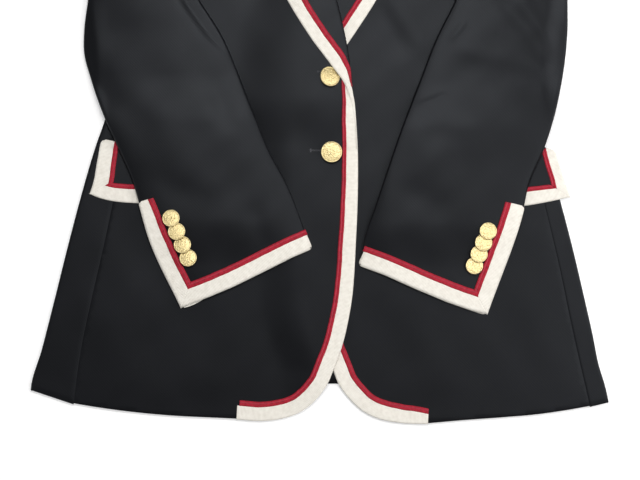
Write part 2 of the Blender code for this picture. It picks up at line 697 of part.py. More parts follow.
def add_cuff_buttons(side, sleeve, collection):
    """Four buttons in a row, each leaning on the next one up the sleeve."""
    first, last = (np.array(point) for point in CUFF_ROWS[side])
    up = unit(first - last)
    lean = Matrix.Rotation(-CUFF_TILT, 4, Vector((up[1], -up[0], 0)))
    for number, share in enumerate(np.linspace(0, 1, CUFF_BUTTONS), 1):
        x, y = first + (last - first) * share
        made = turned_button(f"cuff_button_{side}_{number}", CUFF_BUTTON_PROFILE, 12, collection)
        place = Vector((x * MM, (y - Y_SHIFT) * MM, (sleeve.top(x, y) + CUFF_LIFT) * MM))
        made.matrix_world = Matrix.Translation(place) @ lean


def distance_to(curve):
    curve = np.array(curve)
    return lambda x, y: float(np.hypot(curve[:, 0] - x, curve[:, 1] - y).min())


def add_front_side(side, collar_seam, collar, collection):
    """A front with its lapel and the trim that runs along both."""
    right = side == "right"
    roll, edge = lapel_rows(*((ROLL_RIGHT, LAPEL_EDGE_RIGHT) if right else (ROLL_LEFT, LAPEL_EDGE_LEFT)))
    outline = front_outline(side, roll, edge, collar_seam)
    top = (lambda x, y: FRONT_TOP + front_lift(x, y)) if right else (lambda x, y: FRONT_TOP)
    front = panel(f"front_{side}", outline, top, collection, spacing=LATTICE if right else None,
                  bends=lambda x, y: under_edge(y) - OVER_REACH < x and y < SIDE_TOP)
    front_edge = through(EDGE_RIGHT if right else EDGE_LEFT, TRIM_STEP)
    inwards = 1 if right else -1
    trim(f"front_{side}", front_edge, inwards, front, collection)
    lapel = add_lapel(side, roll, edge, front, collection)
    free = through(LAPEL_EDGE_RIGHT if right else LAPEL_EDGE_LEFT, TRIM_STEP)
    notch = np.array(NOTCH) - (0, 3 * GAP)
    leaf = [NOTCH, LEAF, *[row[12:14] for row in COLLAR[1:4]]]
    if not right:
        notch = mirrored(notch)
        leaf = mirrored(leaf)
    path = np.vstack((free[1:-1], edge[-1:], notch[None, :]))
    trim(f"lapel_{side}", path, -inwards, lapel, collection,
         room=lambda x, y: distance_to(roll)(x, y) - TRIM_ROOM)
    leaf = np.vstack((np.array(leaf[:1]), through(leaf[1:], 12.0)))
    trim(f"collar_{side}", leaf, -inwards, collar, collection)
    return front


def add_flap(side, collection):
    outline = FLAPS[side]
    flap = panel(f"flap_{side}", outline, lambda x, y: FRONT_TOP + LAYER, collection)
    trim(f"flap_{side}", outline, 1 if side == "right" else -1, flap, collection)


def build():
    for old in list(bpy.data.objects):
        bpy.data.objects.remove(old)
    collection = bpy.data.collections.new(OBJECT_NAME)
    bpy.context.scene.collection.children.link(collection)
    collar, collar_grid = add_collar(collection)
    middle = len(collar_grid) // 2
    seam = collar_grid[:, 0, :2]
    back_neck = seam[FRONT_NECK:middle + 1][::-1]
    rows = FRONT_NECK + 1
    for side, front_seam in (("right", seam[:rows]), ("left", seam[::-1][:rows])):
        add_back(side, back_neck, collection)
        add_side(side, collection)
        front = add_front_side(side, front_seam, collar, collection)
        if side == "right":
            add_front_buttons(front, collection)
        add_flap(side, collection)
        sleeve, inner, outer = add_sleeve(side, collection)
        trim(f"cuff_{side}", cuff_path(side, inner, outer), -1 if side == "right" else 1, sleeve, collection)
        add_cuff_buttons(side, sleeve, collection)


build()
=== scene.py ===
"""Looks of the tailored jacket: fine cloth, ribbon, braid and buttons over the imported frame.

Tables are in millimetres in the jacket's pattern: x across the picture, y up from the hem, z from
the floor. Right and left are the wearer's, so the right front is at negative x.
"""
import math

import bpy
import numpy as np
from mathutils import Matrix, Vector, noise
from mathutils.bvhtree import BVHTree
from mathutils.geometry import delaunay_2d_cdt


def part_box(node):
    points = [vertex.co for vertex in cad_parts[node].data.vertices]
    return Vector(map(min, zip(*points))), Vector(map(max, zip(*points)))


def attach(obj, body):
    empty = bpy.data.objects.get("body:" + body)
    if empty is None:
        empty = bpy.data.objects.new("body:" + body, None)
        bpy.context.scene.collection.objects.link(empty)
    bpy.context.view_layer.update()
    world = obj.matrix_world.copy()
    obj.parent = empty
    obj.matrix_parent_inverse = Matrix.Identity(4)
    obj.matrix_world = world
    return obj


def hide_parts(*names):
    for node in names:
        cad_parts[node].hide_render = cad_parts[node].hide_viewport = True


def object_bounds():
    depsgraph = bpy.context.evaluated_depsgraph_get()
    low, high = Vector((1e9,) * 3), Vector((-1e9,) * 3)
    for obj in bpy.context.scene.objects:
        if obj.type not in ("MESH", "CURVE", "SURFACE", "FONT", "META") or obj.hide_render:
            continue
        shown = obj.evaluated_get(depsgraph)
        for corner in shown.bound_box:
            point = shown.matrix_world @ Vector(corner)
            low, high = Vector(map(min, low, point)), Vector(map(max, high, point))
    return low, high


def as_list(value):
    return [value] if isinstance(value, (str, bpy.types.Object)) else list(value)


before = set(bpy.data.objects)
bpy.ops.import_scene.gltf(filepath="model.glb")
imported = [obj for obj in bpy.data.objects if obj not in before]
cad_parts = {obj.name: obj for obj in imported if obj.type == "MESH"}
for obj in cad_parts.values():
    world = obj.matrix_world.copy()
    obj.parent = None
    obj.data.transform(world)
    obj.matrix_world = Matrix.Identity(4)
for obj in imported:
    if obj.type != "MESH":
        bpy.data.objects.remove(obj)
cad_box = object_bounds()

MM = 0.001
SIGN = {"right": -1, "left": 1}
# Thickness of the cloth and the trims, the braid's flat width, and the gaps between pieces
CLOTH = 1.8
RIBBON = 0.7
BRAID = 1.3
BRAID_FLAT = 4.6
GAP = 0.3
TRIM_GAP = 0.15
SEAM_CLEAR = 0.01
FRONT_TOP = 2 * CLOTH + GAP
LAYER = GAP + CLOTH
TRIM_LIFT = 3.5
LAPEL_LIFT = TRIM_LIFT + LAYER
EDGE_RADIUS = CLOTH / 2
FRONT_EDGE_RADIUS = 0.6
CENTRE_EDGE_RADIUS = 0.35
FOLD_RADIUS = 2.2
# How far a fold turns at most, in radians
FOLD_TURN = 2.0
# Turns of the rounded edges of a wall and of a laid panel, in degrees
WALL_TURNS = (50, 0, -50)
PANEL_TURNS = (55, 20, -20, -55)
# Steps along curves and trims, and the spacing of points inside laid panels
CURVE_STEP = 3.0
RIBBON_STEP = 1.5
BRAID_STEP = 0.5
FRONT_SPACING = 4.0
BACK_SPACING = 9.0
FLAP_SPACING = 6.0
# Shares of that spacing between rows and up to the edge, and the sharpest mitre of an outline
LATTICE_ROW = 0.87
LATTICE_CLEAR = 0.55
MITRE_LIMIT = 0.35
# From how high a ray looks down for a surface
RAY_HEIGHT = 200
# The pattern's y of the jacket's highest point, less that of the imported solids
Y_SHIFT = 722.9 - cad_box[1].y / MM

# The photo's frame: how much it takes in and where its middle is
VIEW_WIDTH = 576.0
VIEW_MIDDLE = (0.0, 162.0)
VIEW_PLANE = 8.0
LENS = 180.0
SENSOR = 36.0

BODY_UPPER = [(226, 162), (216.5, 198), (202, 247.5), (193.6, 272), (189, 318), (194, 370), (203, 420),
              (214, 465), (221, 500)]
BODY_SIDE = {
    # half of the body's width, y
    "right": [(261, 16), (261, 27), (251, 63), (239.5, 108)] + BODY_UPPER,
    "left": [(260.3, 16), (258, 27), (250.9, 51), (246.4, 74), (238.8, 108)] + BODY_UPPER,
}
SIDE_SEAM = {
    "right": [(-223, 14), (-216.5, 60), (-205, 115), (-195.8, 155), (-187.6, 194), (-172, 310), (-183, 400),
              (-199, 500)],
    "left": [(244, 12), (228, 82), (216, 139.5), (204, 190), (174, 310), (184, 400), (199, 500)],
}
BACK_TURN = 24
SIDE_TOP = 500
SIDE_ROWS = 90
# Height at which the side seam meets the hem
SEAM_FOOT = 14
HEM = {
    "right": [(-261, 27), (-243, 19), (-220, 14.4), (-192, 9.9), (-132, 3.6), (-95, 1.8), (-75, 0.9)],
    "left": [(261, 16), (227.7, 9.5), (192.6, 4.5), (165.6, 2.2), (128.7, -0.5), (97, -3.3)],
}
EDGE = {
    "right": [(-75, 0.9), (-51, -0.4), (-34, 1.8), (-18, 7.6), (-0.5, 23.1), (6.2, 33), (10.8, 44), (18, 63),
              (26.6, 100), (31.6, 162), (33.4, 216), (33.2, 243), (31.7, 270), (30.9, 280), (28.7, 293)],
    "left": [(97, -3.3), (69.8, -1.8), (51.3, 2.2), (38.7, 8.6), (27.5, 19), (18, 31.5), (12.5, 44.5),
             (4, 66), (-5, 100), (-11, 162), (-13.7, 216), (-13.2, 243), (-11.9, 270), (-10.2, 293)],
}
BACK_HEM = [(-261, 27), (-228, 25), (-120, 30), (0, 32.5), (120, 29), (228, 20), (261, 16)]
BACK_HEM_END = 222
# Where the back's centre seam starts and ends, and its step
CENTRE_SEAM = (45, 670, 12.0)
ROLL = {
    "right": [(28.7, 293), (27.8, 304), (23.4, 338), (14.4, 378), (-31, 557)],
    "left": [(-10.2, 293), (-8.3, 304), (-2.4, 338), (7.4, 378), (39, 557)],
}
LAPEL_EDGE = {
    "right": [(26.5, 295), (21, 304), (12, 318), (2.2, 331), (-5, 340.5), (-13.4, 353), (-21, 365),
              (-28.6, 378), (-62, 440), (-100, 509.6)],
    "left": [(-6, 296), (0.6, 304), (9.6, 318), (18.6, 331), (33.6, 353), (49.6, 378), (78, 440),
             (108, 509.6)],
}
# Where the lapel's ribbon runs out, down the front edge below the break
LAPEL_RUN_OUT = [(32.8, 243), (31.0, 270), (27.2, 290), (23.6, 301)]
RUN_OUT_RISE = (284, 16)
RUN_OUT_LIFT = 0.25
# The front's ribbon above the break, under the lapel
BREAK_RIBBON = [(27.4, 299), (25.6, 309)]
LAPEL_INSET = EDGE_RADIUS + 0.1
LAPEL_COLUMNS = 22
# The lapel's swell, full at this width, and its rise over the top button's edge
LAPEL_SWELL = 0.35
LAPEL_SWELL_WIDTH = 60
BUTTON_SWELL = 1.2
BUTTON_SWELL_REACH = 10
# Where the right lapel's braid and the right hem's braid start along their trims
BRAID_START = 55.0
HEM_BRAID_START = 1.8
ROLL_TURN = 5.0
NOTCH = (-72, 529)
LEAF = (-95, 545)
# How far the left gorge is shifted, from where up it fades and over what length
GORGE_SHIFT = 8.0
GORGE_FADE = (520, 170)
SEAM_DROP = 0.8
# Points round the collar's fold, rows between its sections, the section where the fronts' neck ends
# and the column where its fall starts
COLLAR_ARC = 9
COLLAR_STEPS = 8
FRONT_SECTIONS = 4
FALL_START = 11
COLLAR = [
    # seam x, y, z, stand x, y, z, fold x, y, z, landing x, y, z, edge x, y, z, fold radius
    (-36.3, 554.5, 3.0, -34.5, 555.4, 3.0, -31, 557, 4.05, -72, 529.2, 5.1, -95, 545, 5.1, 1.05),
    (-47.3, 601, 3.0, -45.2, 601.5, 3.0, -42, 602, 4.05, -70, 599, 5.1, -97, 592, 5.1, 1.05),
    (-59, 645, 3.0, -57, 645.7, 3.2, -53, 647, 4.8, -76, 647, 5.1, -101, 642, 5.1, 1.3),
    (-65.5, 680, 3.0, -62.5, 682, 6.5, -57.5, 684, 11, -78, 686, 6.4, -103, 668, 5.1, 2.2),
    (-67.7, 700.3, 2.6, -65.5, 703.5, 9.5, -58, 709, 17, -77, 713, 8.4, -93, 703, 5.4, 2.6),
    (-50, 691.3, 0.9, -47.5, 702, 8, -42, 717, 14, -57, 719, 4.0, -67, 708.5, 0.9, 2.6),
    (-26, 685.3, 0.9, -25.5, 697.5, 5.6, -22, 721, 9, -28, 714, 0.9, -32, 700, 0.9, 2.4),
    (0, 682.8, 0.9, 0, 695.5, 5.0, 0, 722, 6, 0, 711, 0.9, 0, 699, 0.9, 2.4),
]
FRONT_ARMHOLE = [(-199, 500), (-178, 520), (-165, 552), (-162, 592), (-175, 630), (-198, 660)]
BACK_ARMHOLE = [(-197, 500), (-190, 520), (-186, 555), (-186, 600), (-191, 635), (-198, 660)]
SLEEVES = {
    "right": {
        "inner": [(-7.2, 154), (-14.4, 172), (-21, 190.6), (-31, 214.7), (-45, 240.5), (-60.4, 278),
                  (-75.9, 318), (-87, 343.6), (-108.5, 378)],
        "outer": [(-125, 101.7), (-153, 162), (-162.9, 196.2), (-167.4, 211.5), (-182.7, 247.5),
                  (-193.6, 271.4), (-206.5, 307.5), (-212.5, 330), (-212.5, 350.5), (-209, 378)],
        "upper_inner": [(-108.5, 378), (-112, 420), (-112, 460), (-118, 500), (-133, 535), (-150, 560)],
        "upper_outer": [(-209, 378), (-214, 430), (-226, 500), (-231, 560), (-226, 610), (-213, 645),
                        (-197, 664)],
    },
    "left": {
        "inner": [(34.9, 139), (37.8, 154), (41.4, 169), (49, 190.8), (60.9, 226.8), (74.7, 266.4),
                  (90, 306), (104, 342), (121, 376)],
        "outer": [(150.3, 95.9), (183.3, 191.7), (187.2, 209.7), (202.8, 247.5), (212.2, 278),
                  (220.5, 321), (223.2, 352), (223.2, 378)],
        "upper_inner": [(121, 376), (125, 420), (124, 460), (126, 500), (136, 535), (150, 560)],
        "upper_outer": [(223.2, 378), (225, 430), (229, 500), (231, 560), (226, 610), (213, 645),
                        (197, 664)],
    },
}
# A sleeve's puff, how full it is, and the share of it that a fold may sink
PUFF = 2.9
PUFF_POWER = 0.7
FOLD_LIMIT = 0.95
# Its unevenness: how strong, how far shifted and how fast it rises from the folds
SLEEVE_SWAY = 1.5
SLEEVE_SWAY_SHIFT = 40
SWAY_RISE = 6
# How far the top sleeve reaches under at the inner and the outer side
INSEAM = 22.0
OUTSEAM = 14.0
# The cuff's trim: length up the vent, round corner at its end, its wrap round the inner fold
VENT = 102.0
VENT_CORNER = 3.0
CUFF_WRAP = -4.0
WRAP_CORNER = 3.2
# Rows of the sleeve that follow the cuff's bow, how far they stay clear of it, and the under's share
CUFF_ROWS = 9
CUFF_CLEAR = 0.2
UNDER_BOW = 0.6
# How far each cuff's edge bows below the straight line between its corners
CUFF_BOW = {
    "right": [(0.0, -0.6), (0.15, -0.9), (0.35, 0.4), (0.6, 1.7), (0.8, 1.2), (1.0, 0.0)],
    "left": [(0.0, -0.6), (0.2, -0.8), (0.45, 1.2), (0.7, 2.4), (0.9, 1.8), (1.0, 0.0)],
}
# How far the under layer's ribbon peeks out below each cuff's outer corner, and its height over it
UNDER_RIBBON = {"right": 2.3, "left": 2.2}
UNDER_RIBBON_LIFT = 0.2
# Where it starts, counted back from the cuff's outer corner, how long it runs and how far up it goes
UNDER_RIBBON_BACK = 24
UNDER_RIBBON_RUN = 21.5
UNDER_RIBBON_TOP = 8.0
# How a fold bends along its length, and the share of it over which each end fades
FOLD_BEND = 0.06
FOLD_FADE = 0.25
# Folds of the sleeves: a trough has a positive depth and a ridge a negative one
SLEEVE_FOLDS = {
    "right": [
        # from x, y, to x, y, depth, half width
        (-124, 386, -88, 340, 2.2, 6.5),
        (-108, 372, -84, 338, -0.9, 4.0),
        (-205, 300, -150, 262, 0.8, 15.0),
        (-200, 345, -140, 352, 0.7, 15.0),
        (-96, 300, -80, 262, 0.6, 9.0),
        (-150, 215, -95, 196, 0.5, 12.0),
        (-60, 190, -45, 150, 0.45, 9.0),
        (-215, 480, -150, 440, 1.1, 14.0),
        (-205, 560, -150, 520, 0.9, 16.0),
    ],
    "left": [
        (204, 304, 122, 318, 0.5, 12.0),
        (196, 318, 128, 334, -0.4, 8.0),
        (190, 346, 204, 322, 0.8, 7.5),
        (162, 378, 190, 347, 0.8, 7.5),
        (178, 384, 206, 340, -0.5, 6.0),
        (90, 283, 113, 292.5, -0.5, 2.8),
        (118, 343, 130, 357, -0.42, 2.8),
        (95, 262, 130, 250, 0.5, 13.0),
        (70, 210, 110, 190, 0.5, 12.0),
        (175, 240, 120, 226, 0.5, 14.0),
        (218, 480, 160, 445, 1.1, 14.0),
        (208, 560, 156, 520, 0.9, 16.0),
    ],
}
# Soft folds of the fronts, raised where the depth is negative
FRONT_FOLDS = [
    # from x, y, to x, y, depth, half width
    (46, 378, 74, 332, 0.9, 12.0),
    (62, 384, 96, 330, -0.7, 10.0),
    (80, 130, 100, 20, -0.5, 26.0),
    (190, 120, 214, 18, -0.5, 20.0),
    (-60, 120, -92, 16, -0.5, 26.0),
    (-170, 130, -190, 22, -0.5, 22.0),
    (-30, 330, -20, 250, 0.4, 18.0),
    (-70, 60, -40, 130, 0.12, 18.0),
]
SWAY = [
    # height, rate along x, rate along y, phase
    (0.16, 0.041, 0.027, 0.6),
    (0.12, -0.031, 0.067, 2.1),
    (0.07, 0.113, 0.083, 4.0),
    (0.05, -0.149, 0.171, 1.3),
]
SWAY_LIFT = 0.3
# The right front's rises over what is under it: where each starts up the jacket, and its length
HEM_RISE = (-12, 46)
LAPEL_RISE = (245, 48)
UPPER_FALL = (405, 75)
# How long the slope beside the under edge is, how much longer by the lapel, and how far it leads
RISE_SLOPE = 40
LAPEL_SLOPE = 25
RISE_LEAD = 10
# The cloth is calm near its hem and its sides
HEM_CALM = (6, 30)
CALM_SHARE = 0.25
SIDE_CALM = 30
# A sleeve's slope round the flap under it, and its droop past the body
FLAP_CLEAR = 14
FLAP_SLOPE = 45
FLAP_LIFT = 0.35
DROOP = FRONT_TOP - 0.4
DROOP_SLOPE = (9, 20)
# Each flap's outer edge, its lower edge and its inner edge
FLAPS = {
    "right": [
        [(-195.8, 253.2), (-197.2, 247.5), (-198.7, 239.3), (-200.6, 228.8), (-202.5, 217.5), (-204.7, 209.3),
         (-206.5, 204.0)],
        [(-206.5, 204.0), (-200.6, 201.4), (-193.2, 199.2), (-185.8, 197.7), (-178.4, 196.8), (-163.5, 195.9),
         (-110, 195.8), (-64, 200)],
        [(-64, 200), (-66, 252)],
    ],
    "left": [
        [(210.3, 246), (212.8, 236), (215.9, 226), (220.0, 213.5), (224.2, 201.2)],
        [(224.2, 201.2), (204.5, 197), (184.8, 193.6), (130, 193.2), (81, 198)],
        [(81, 198), (78, 246)],
    ],
}
# How round each flap's upper outer corner is
FLAP_CORNER = {"right": 5.0, "left": 8.0}

# A ribbon's and a braid's columns: shares of the turn under the edge, and of the width above it
RIBBON_ROLL = np.array((1.9, 1.55, 1.2, 0.85, 0.5, 0.2))
RIBBON_FACE = np.array((0.02, 0.25, 0.5, 0.75, 0.93, 1.0))
BRAID_FACE = np.linspace(0, 1, 11)
BRAID_WALL = 0.55
BRAID_CLEAR = 0.15
CALM_INSET = 0.2
# The trim's unevenness: height and rate of each wave of the ribbon's width, its shift by the trim's
# name, and the ribbon's pucker with its rates along, across and over a longer stretch
WOBBLE = [(0.09, 0.17), (0.05, 0.43)]
WOBBLE_SHIFT = 7.0
PUCKER = 0.05
PUCKER_RATES = (0.9, 0.4, 0.23)
# The plait: its length, slant and depth, and the height and sink of its strands
PLAIT = 1.7
PLAIT_SLANT = 1.5
PLAIT_DEPTH = 0.16
STRAND_HEIGHT = 0.5
STRAND_SINK = 0.55
# Widths of the trims along their paths
RIBBON_WIDTH = {
    # share of the path, width
    "front_right": [(0, 11.6), (0.3, 11.7), (0.442, 11.4), (0.607, 10.6), (0.751, 9.9), (0.823, 9.3),
                    (0.895, 8.3), (0.921, 7.6), (0.956, 5.6), (0.973, 4.6), (1, 3.0)],
    "front_left": [(0, 8.2), (0.02, 9.6), (0.04, 10.6), (0.08, 11.6), (0.12, 12.0)],
    "lapel_right": [(0, 0.3), (0.08, 1.2), (0.142, 3.0), (0.177, 4.3), (0.204, 7.4), (0.237, 9.3),
                    (0.26, 9.8), (1, 9.9)],
    "lapel_left": [(0, 3.2), (0.03, 5.2), (0.07, 7.6), (0.12, 9.2), (0.16, 9.8), (1, 9.9)],
    "collar": [(0, 11.0)],
    "flap_right": [(0, 11.0), (0.1, 12.1), (0.16, 12.5), (0.204, 11.8), (0.24, 11.0), (0.36, 11.4)],
    "flap_left": [(0, 6.8), (0.12, 7.2), (0.195, 9.0), (0.253, 9.9), (0.32, 11.0), (0.4, 11.5)],
    "cuff_right": [(0, 12.6), (0.5, 12.4), (0.81, 12.2), (0.913, 10.8), (0.965, 9.4), (1, 8.2)],
    "cuff_left": [(0, 12.6), (0.5, 12.6), (0.8, 13.0), (0.92, 12.6), (1, 11.8)],
}
BRAID_WIDTH = {
    "front_right": [(0, 5.0), (0.3, 4.6), (0.62, 4.0), (0.9, 3.5), (1, 3.0)],
    "front_left": [(0, 4.8), (1, 4.6)],
    "lapel_right": [(0, 0.3), (0.158, 0.3), (0.177, 1.6), (0.204, 3.9), (0.237, 4.8), (1, 4.6)],
    "lapel_left": [(0, 0.4), (0.03, 1.6), (0.07, 3.0), (0.12, 4.4), (1, 4.6)],
    "collar": [(0, 4.6)],
    "flap_right": [(0, 4.3)],
    "flap_left": [(0, 4.0)],
    "cuff_right": [(0, 5.0), (0.5, 5.3), (1, 5.2)],
    "cuff_left": [(0, 5.0), (0.5, 5.3), (1, 5.3)],
}

FRONT_BUTTONS = [(9.2, 309.2), (10.4, 241.2)]
CUFF_BUTTONS = 4
FRONT_BUTTON_RADIUS = 9.6
# The top button leans away from the lapel, whose ribbon covers its edge
TOP_BUTTON_SINK = 3.0
TOP_BUTTON_LEAN = math.radians(24)
TOP_BUTTON_RADIUS = 9.3
LAPEL_RUN = (-0.565, 0.825, 0)
TOP_BUTTON_STEM = 2.6
FRONT_BUTTON_DROP = 1.6
FRONT_BUTTON_STEM = 4.4
FRONT_BUTTON_HEIGHT = 2.4
CUFF_BUTTON_RADIUS = 7.85
CUFF_BUTTON_HEIGHT = 1.9
CUFF_BUTTON_STEM = 2.4
CUFF_BUTTON_DROP = 3.1
CUFF_BUTTON_LEAN = -10.5
# A button's form: sides, rings of its face, the face's share of the radius, and its dome
BUTTON_SIDES = 72
BUTTON_RINGS = 21
BUTTON_FACE = 0.83
BUTTON_DOME = 0.08
BUTTON_RIM = [
    # share of the radius, share of half the height
    (0.85, 0.0), (0.875, 0.22), (0.91, 0.3), (0.945, 0.26), (0.975, 0.08), (0.995, -0.35), (1.0, -0.75),
    (0.985, -1.1), (0.94, -1.5), (0.7, -1.75), (0.3, -1.8),
]
# The hammered grain: height, rate and shift of each layer, and its depth by the radius squared
BUTTON_GRAIN = [(0.7, 0.8, 0), (0.6, 1.5, 5)]
GRAIN_DEPTH = 0.0032
RIM_RIPPLE = 0.03
SHANK = 0.26
SHANK_SIDES = 16
# Outer x, y, inner x, and whether the outer end has a bar
BUTTONHOLES = [(-2.4, 313.7, 8.9, False), (-8.0, 242.7, 8.6, True)]
STITCH_STEP = 0.55
STITCH_ROWS = 6
STITCH_SIDES = 6
BAR_REACH = 1.7

# Light, in metres and watts
SKY = 0.22
FLOOR_LEVEL = -0.0002
FLOOR_GLOW = 0.34
LAMPS = [
    # name, place, target, size, power, colour
    ("key", (0.0, 0.25, 1.22), (0.0, -0.1, 0), 0.42, 8.4, (1.0, 0.99, 0.98)),
    ("glow_right", (0.62, -0.34, 1.2), (0.2, -0.3, 0), 0.5, 4.6, (1.0, 0.99, 0.98)),
    ("side_right", (1.15, 0.05, 0.75), (0, -0.2, 0), 0.6, 8.5, (1.0, 0.99, 0.99)),
    ("side_left", (-1.3, -0.7, 0.8), (0, -0.2, 0), 1.0, 5, (0.97, 0.98, 1.0)),
]


def ease(value):
    """A smooth step from 0 to 1."""
    value = np.clip(value, 0.0, 1.0)
    return value * value * (3 - 2 * value)


def ramp(value, start, length):
    """A smooth step that begins at start and takes this length."""
    return ease((value - start) / length)


def hermite(s, start, leave, end, arrive):
    """The point at share s of a smooth stretch, with the runs at its two ends."""
    return ((2 * s**3 - 3 * s**2 + 1) * start + (s**3 - 2 * s**2 + s) * leave
            + (3 * s**2 - 2 * s**3) * end + (s**3 - s**2) * arrive)


def through(points, step):
    """Points about step apart on a smooth curve through the points given; a whole step is a count."""
    points = np.array(points, float)
    spans = np.diff(points, axis=0)
    chords = np.linalg.norm(spans, axis=1)
    knots = np.concatenate(([0.0], np.cumsum(chords)))
    slopes = spans / chords[:, None]
    before, after = chords[:-1, None], chords[1:, None]
    inner = (slopes[:-1] * after + slopes[1:] * before) / (before + after)
    tangents = np.vstack((slopes[:1], inner, slopes[-1:]))
    count = step if isinstance(step, int) else max(2, round(knots[-1] / step) + 1)
    places = np.linspace(0, knots[-1], count)
    span = np.clip(np.searchsorted(knots, places, side="right") - 1, 0, len(chords) - 1)
    width = chords[span, None]
    s = (places - knots[span])[:, None] / width
    return hermite(s, points[span], width * tangents[span], points[span + 1], width * tangents[span + 1])


def x_at(points):
    """x as a function of y along a curve that always rises."""
    curve = through(points, CURVE_STEP)
    return lambda y: np.interp(y, curve[:, 1], curve[:, 0])


def y_at(points):
    """y as a function of x along a curve whose x always grows."""
    curve = through(points, CURVE_STEP)
    return lambda x: np.interp(x, curve[:, 0], curve[:, 1])


def table_at(table, share):
    return np.interp(share, [row[0] for row in table], [row[1] for row in table])


half_width = {side: x_at(table) for side, table in BODY_SIDE.items()}
sleeve_rest = x_at(BODY_SIDE["right"][1:] + [(221, 525), (199, 560), (197, 664)])
under_edge = x_at([point for point in EDGE["left"] if point[1] >= 44] + ROLL["left"][1:])


def fold_depth(x, y, folds):
    """Depth of the soft folds at a point."""
    depth = 0.0
    for x0, y0, x1, y1, deep, wide in folds:
        run = np.array((x1 - x0, y1 - y0))
        length = np.linalg.norm(run)
        along = ((x - x0) * run[0] + (y - y0) * run[1]) / length**2
        across = ((x - x0) * run[1] - (y - y0) * run[0]) / length
        bend = FOLD_BEND * length * (along - 0.5) ** 2
        ends = ramp(along, -FOLD_FADE, 2 * FOLD_FADE) * ramp(1 - along, -FOLD_FADE, 2 * FOLD_FADE)
        depth = depth + deep * ends * np.exp(-((across + bend) / wide) ** 2)
    return depth


def sway(x, y):
    """The cloth's slight unevenness, a few tenths of a millimetre."""
    return sum(high * np.sin(by_x * x + by_y * y + phase) for high, by_x, by_y, phase in SWAY)


def front_lift(x, y):
    """How far the right front rises over the left front, its trim and its lapel."""
    over_lapel = ramp(y, *LAPEL_RISE)
    slope = RISE_SLOPE + LAPEL_SLOPE * over_lapel
    across = ramp(x - under_edge(y), -slope - RISE_LEAD, slope)
    along = ramp(y, *HEM_RISE) * (1 - ramp(y, *UPPER_FALL))
    return (TRIM_LIFT + (LAPEL_LIFT - TRIM_LIFT) * over_lapel) * across * along


def flap_lift(x, y, side):
    """How far a sleeve rises over the pocket flap beneath it."""
    corners = np.vstack(FLAPS[side])
    low, high = corners.min(axis=0) - FLAP_CLEAR, corners.max(axis=0) + FLAP_CLEAR
    out_x = np.maximum(np.maximum(low[0] - x, x - high[0]), 0)
    out_y = np.maximum(np.maximum(low[1] - y, y - high[1]), 0)
    return TRIM_LIFT * (1 - ramp(np.hypot(out_x, out_y), 0, FLAP_SLOPE))


def front_top(x, y, side):
    """Upper face of a front."""
    lift = front_lift(x, y) if side == "right" else 0.0
    calm = ramp(y, *HEM_CALM) * (1 - CALM_SHARE) + CALM_SHARE
    inside = ramp(half_width[side](y) - np.abs(x), 0, SIDE_CALM)
    return FRONT_TOP + lift + (sway(x, y) + SWAY_LIFT - fold_depth(x, y, FRONT_FOLDS)) * calm * inside


def flap_top(x, y):
    return FRONT_TOP + LAYER + 0.5 * sway(x, y) + FLAP_LIFT


def sleeve_floor(x, y, side):
    """Underside of a sleeve: it lies on the front, rises over the flap and droops past the body."""
    flap = flap_lift(x, y, side)
    front = front_lift(x, y) if side == "right" else 0.0
    lift = flap + front - flap * front / TRIM_LIFT
    droop = DROOP * ramp(np.abs(x) - sleeve_rest(y), *DROOP_SLOPE) * (1 - flap / TRIM_LIFT)
    return FRONT_TOP + GAP + lift - droop


def mirrored(points):
    """The same points on the wearer's left side of the neck, where the fronts lie a little over."""
    points = np.array(points, float)
    shift = GORGE_SHIFT * (1 - ramp(points[..., 1], *GORGE_FADE))
    points[..., 0] = -points[..., 0] + shift
    return points


def unit(vector):
    return vector / np.linalg.norm(vector, axis=-1, keepdims=True)


class Carrier:
    """A laid surface that other pieces lie on."""

    def __init__(self, grid):
        self.points = grid.reshape(-1, 3)
        self.tree = BVHTree.FromPolygons(self.points.tolist(), grid_faces(*grid.shape[:2]))

    def top(self, x, y):
        hit = self.tree.ray_cast(Vector((x, y, RAY_HEIGHT)), Vector((0, 0, -1)))[0]
        if hit is None:
            return self.points[np.argmin(np.hypot(self.points[:, 0] - x, self.points[:, 1] - y)), 2]
        return hit.z

    def heights(self, xy):
        return np.array([self.top(x, y) for x, y in xy.reshape(-1, 2)]).reshape(xy.shape[:-1])


class Plain:
    """A laid surface given by a formula."""

    def __init__(self, top):
        self.heights = lambda xy: top(xy[..., 0], xy[..., 1])


class RunOut:
    """The lapel's face, running out below the break onto the front's ribbon."""

    def __init__(self, lapel, front):
        self.lapel, self.front = lapel, front

    def heights(self, xy):
        share = ramp(xy[..., 1], *RUN_OUT_RISE)
        low = self.front.heights(xy) + RUN_OUT_LIFT
        return low * (1 - share) + self.lapel.heights(xy) * share


def grid_faces(rows, columns):
    corner = (np.arange(rows - 1)[:, None] * columns + np.arange(columns - 1)[None, :]).ravel()
    return np.column_stack((corner, corner + 1, corner + columns + 1, corner + columns)).tolist()


def ring_faces(rows, around, start=0):
    """Faces between rings of points that follow each other."""
    made = []
    for row in range(rows - 1):
        for k in range(around):
            a = start + row * around + k
            b = start + row * around + (k + 1) % around
            made.append([a, a + around, b + around, b])
    return made


def grid_normals(grid):
    rows = np.gradient(grid, axis=0)
    columns = np.gradient(grid, axis=1)
    return unit(np.cross(columns, rows) + 1e-12)


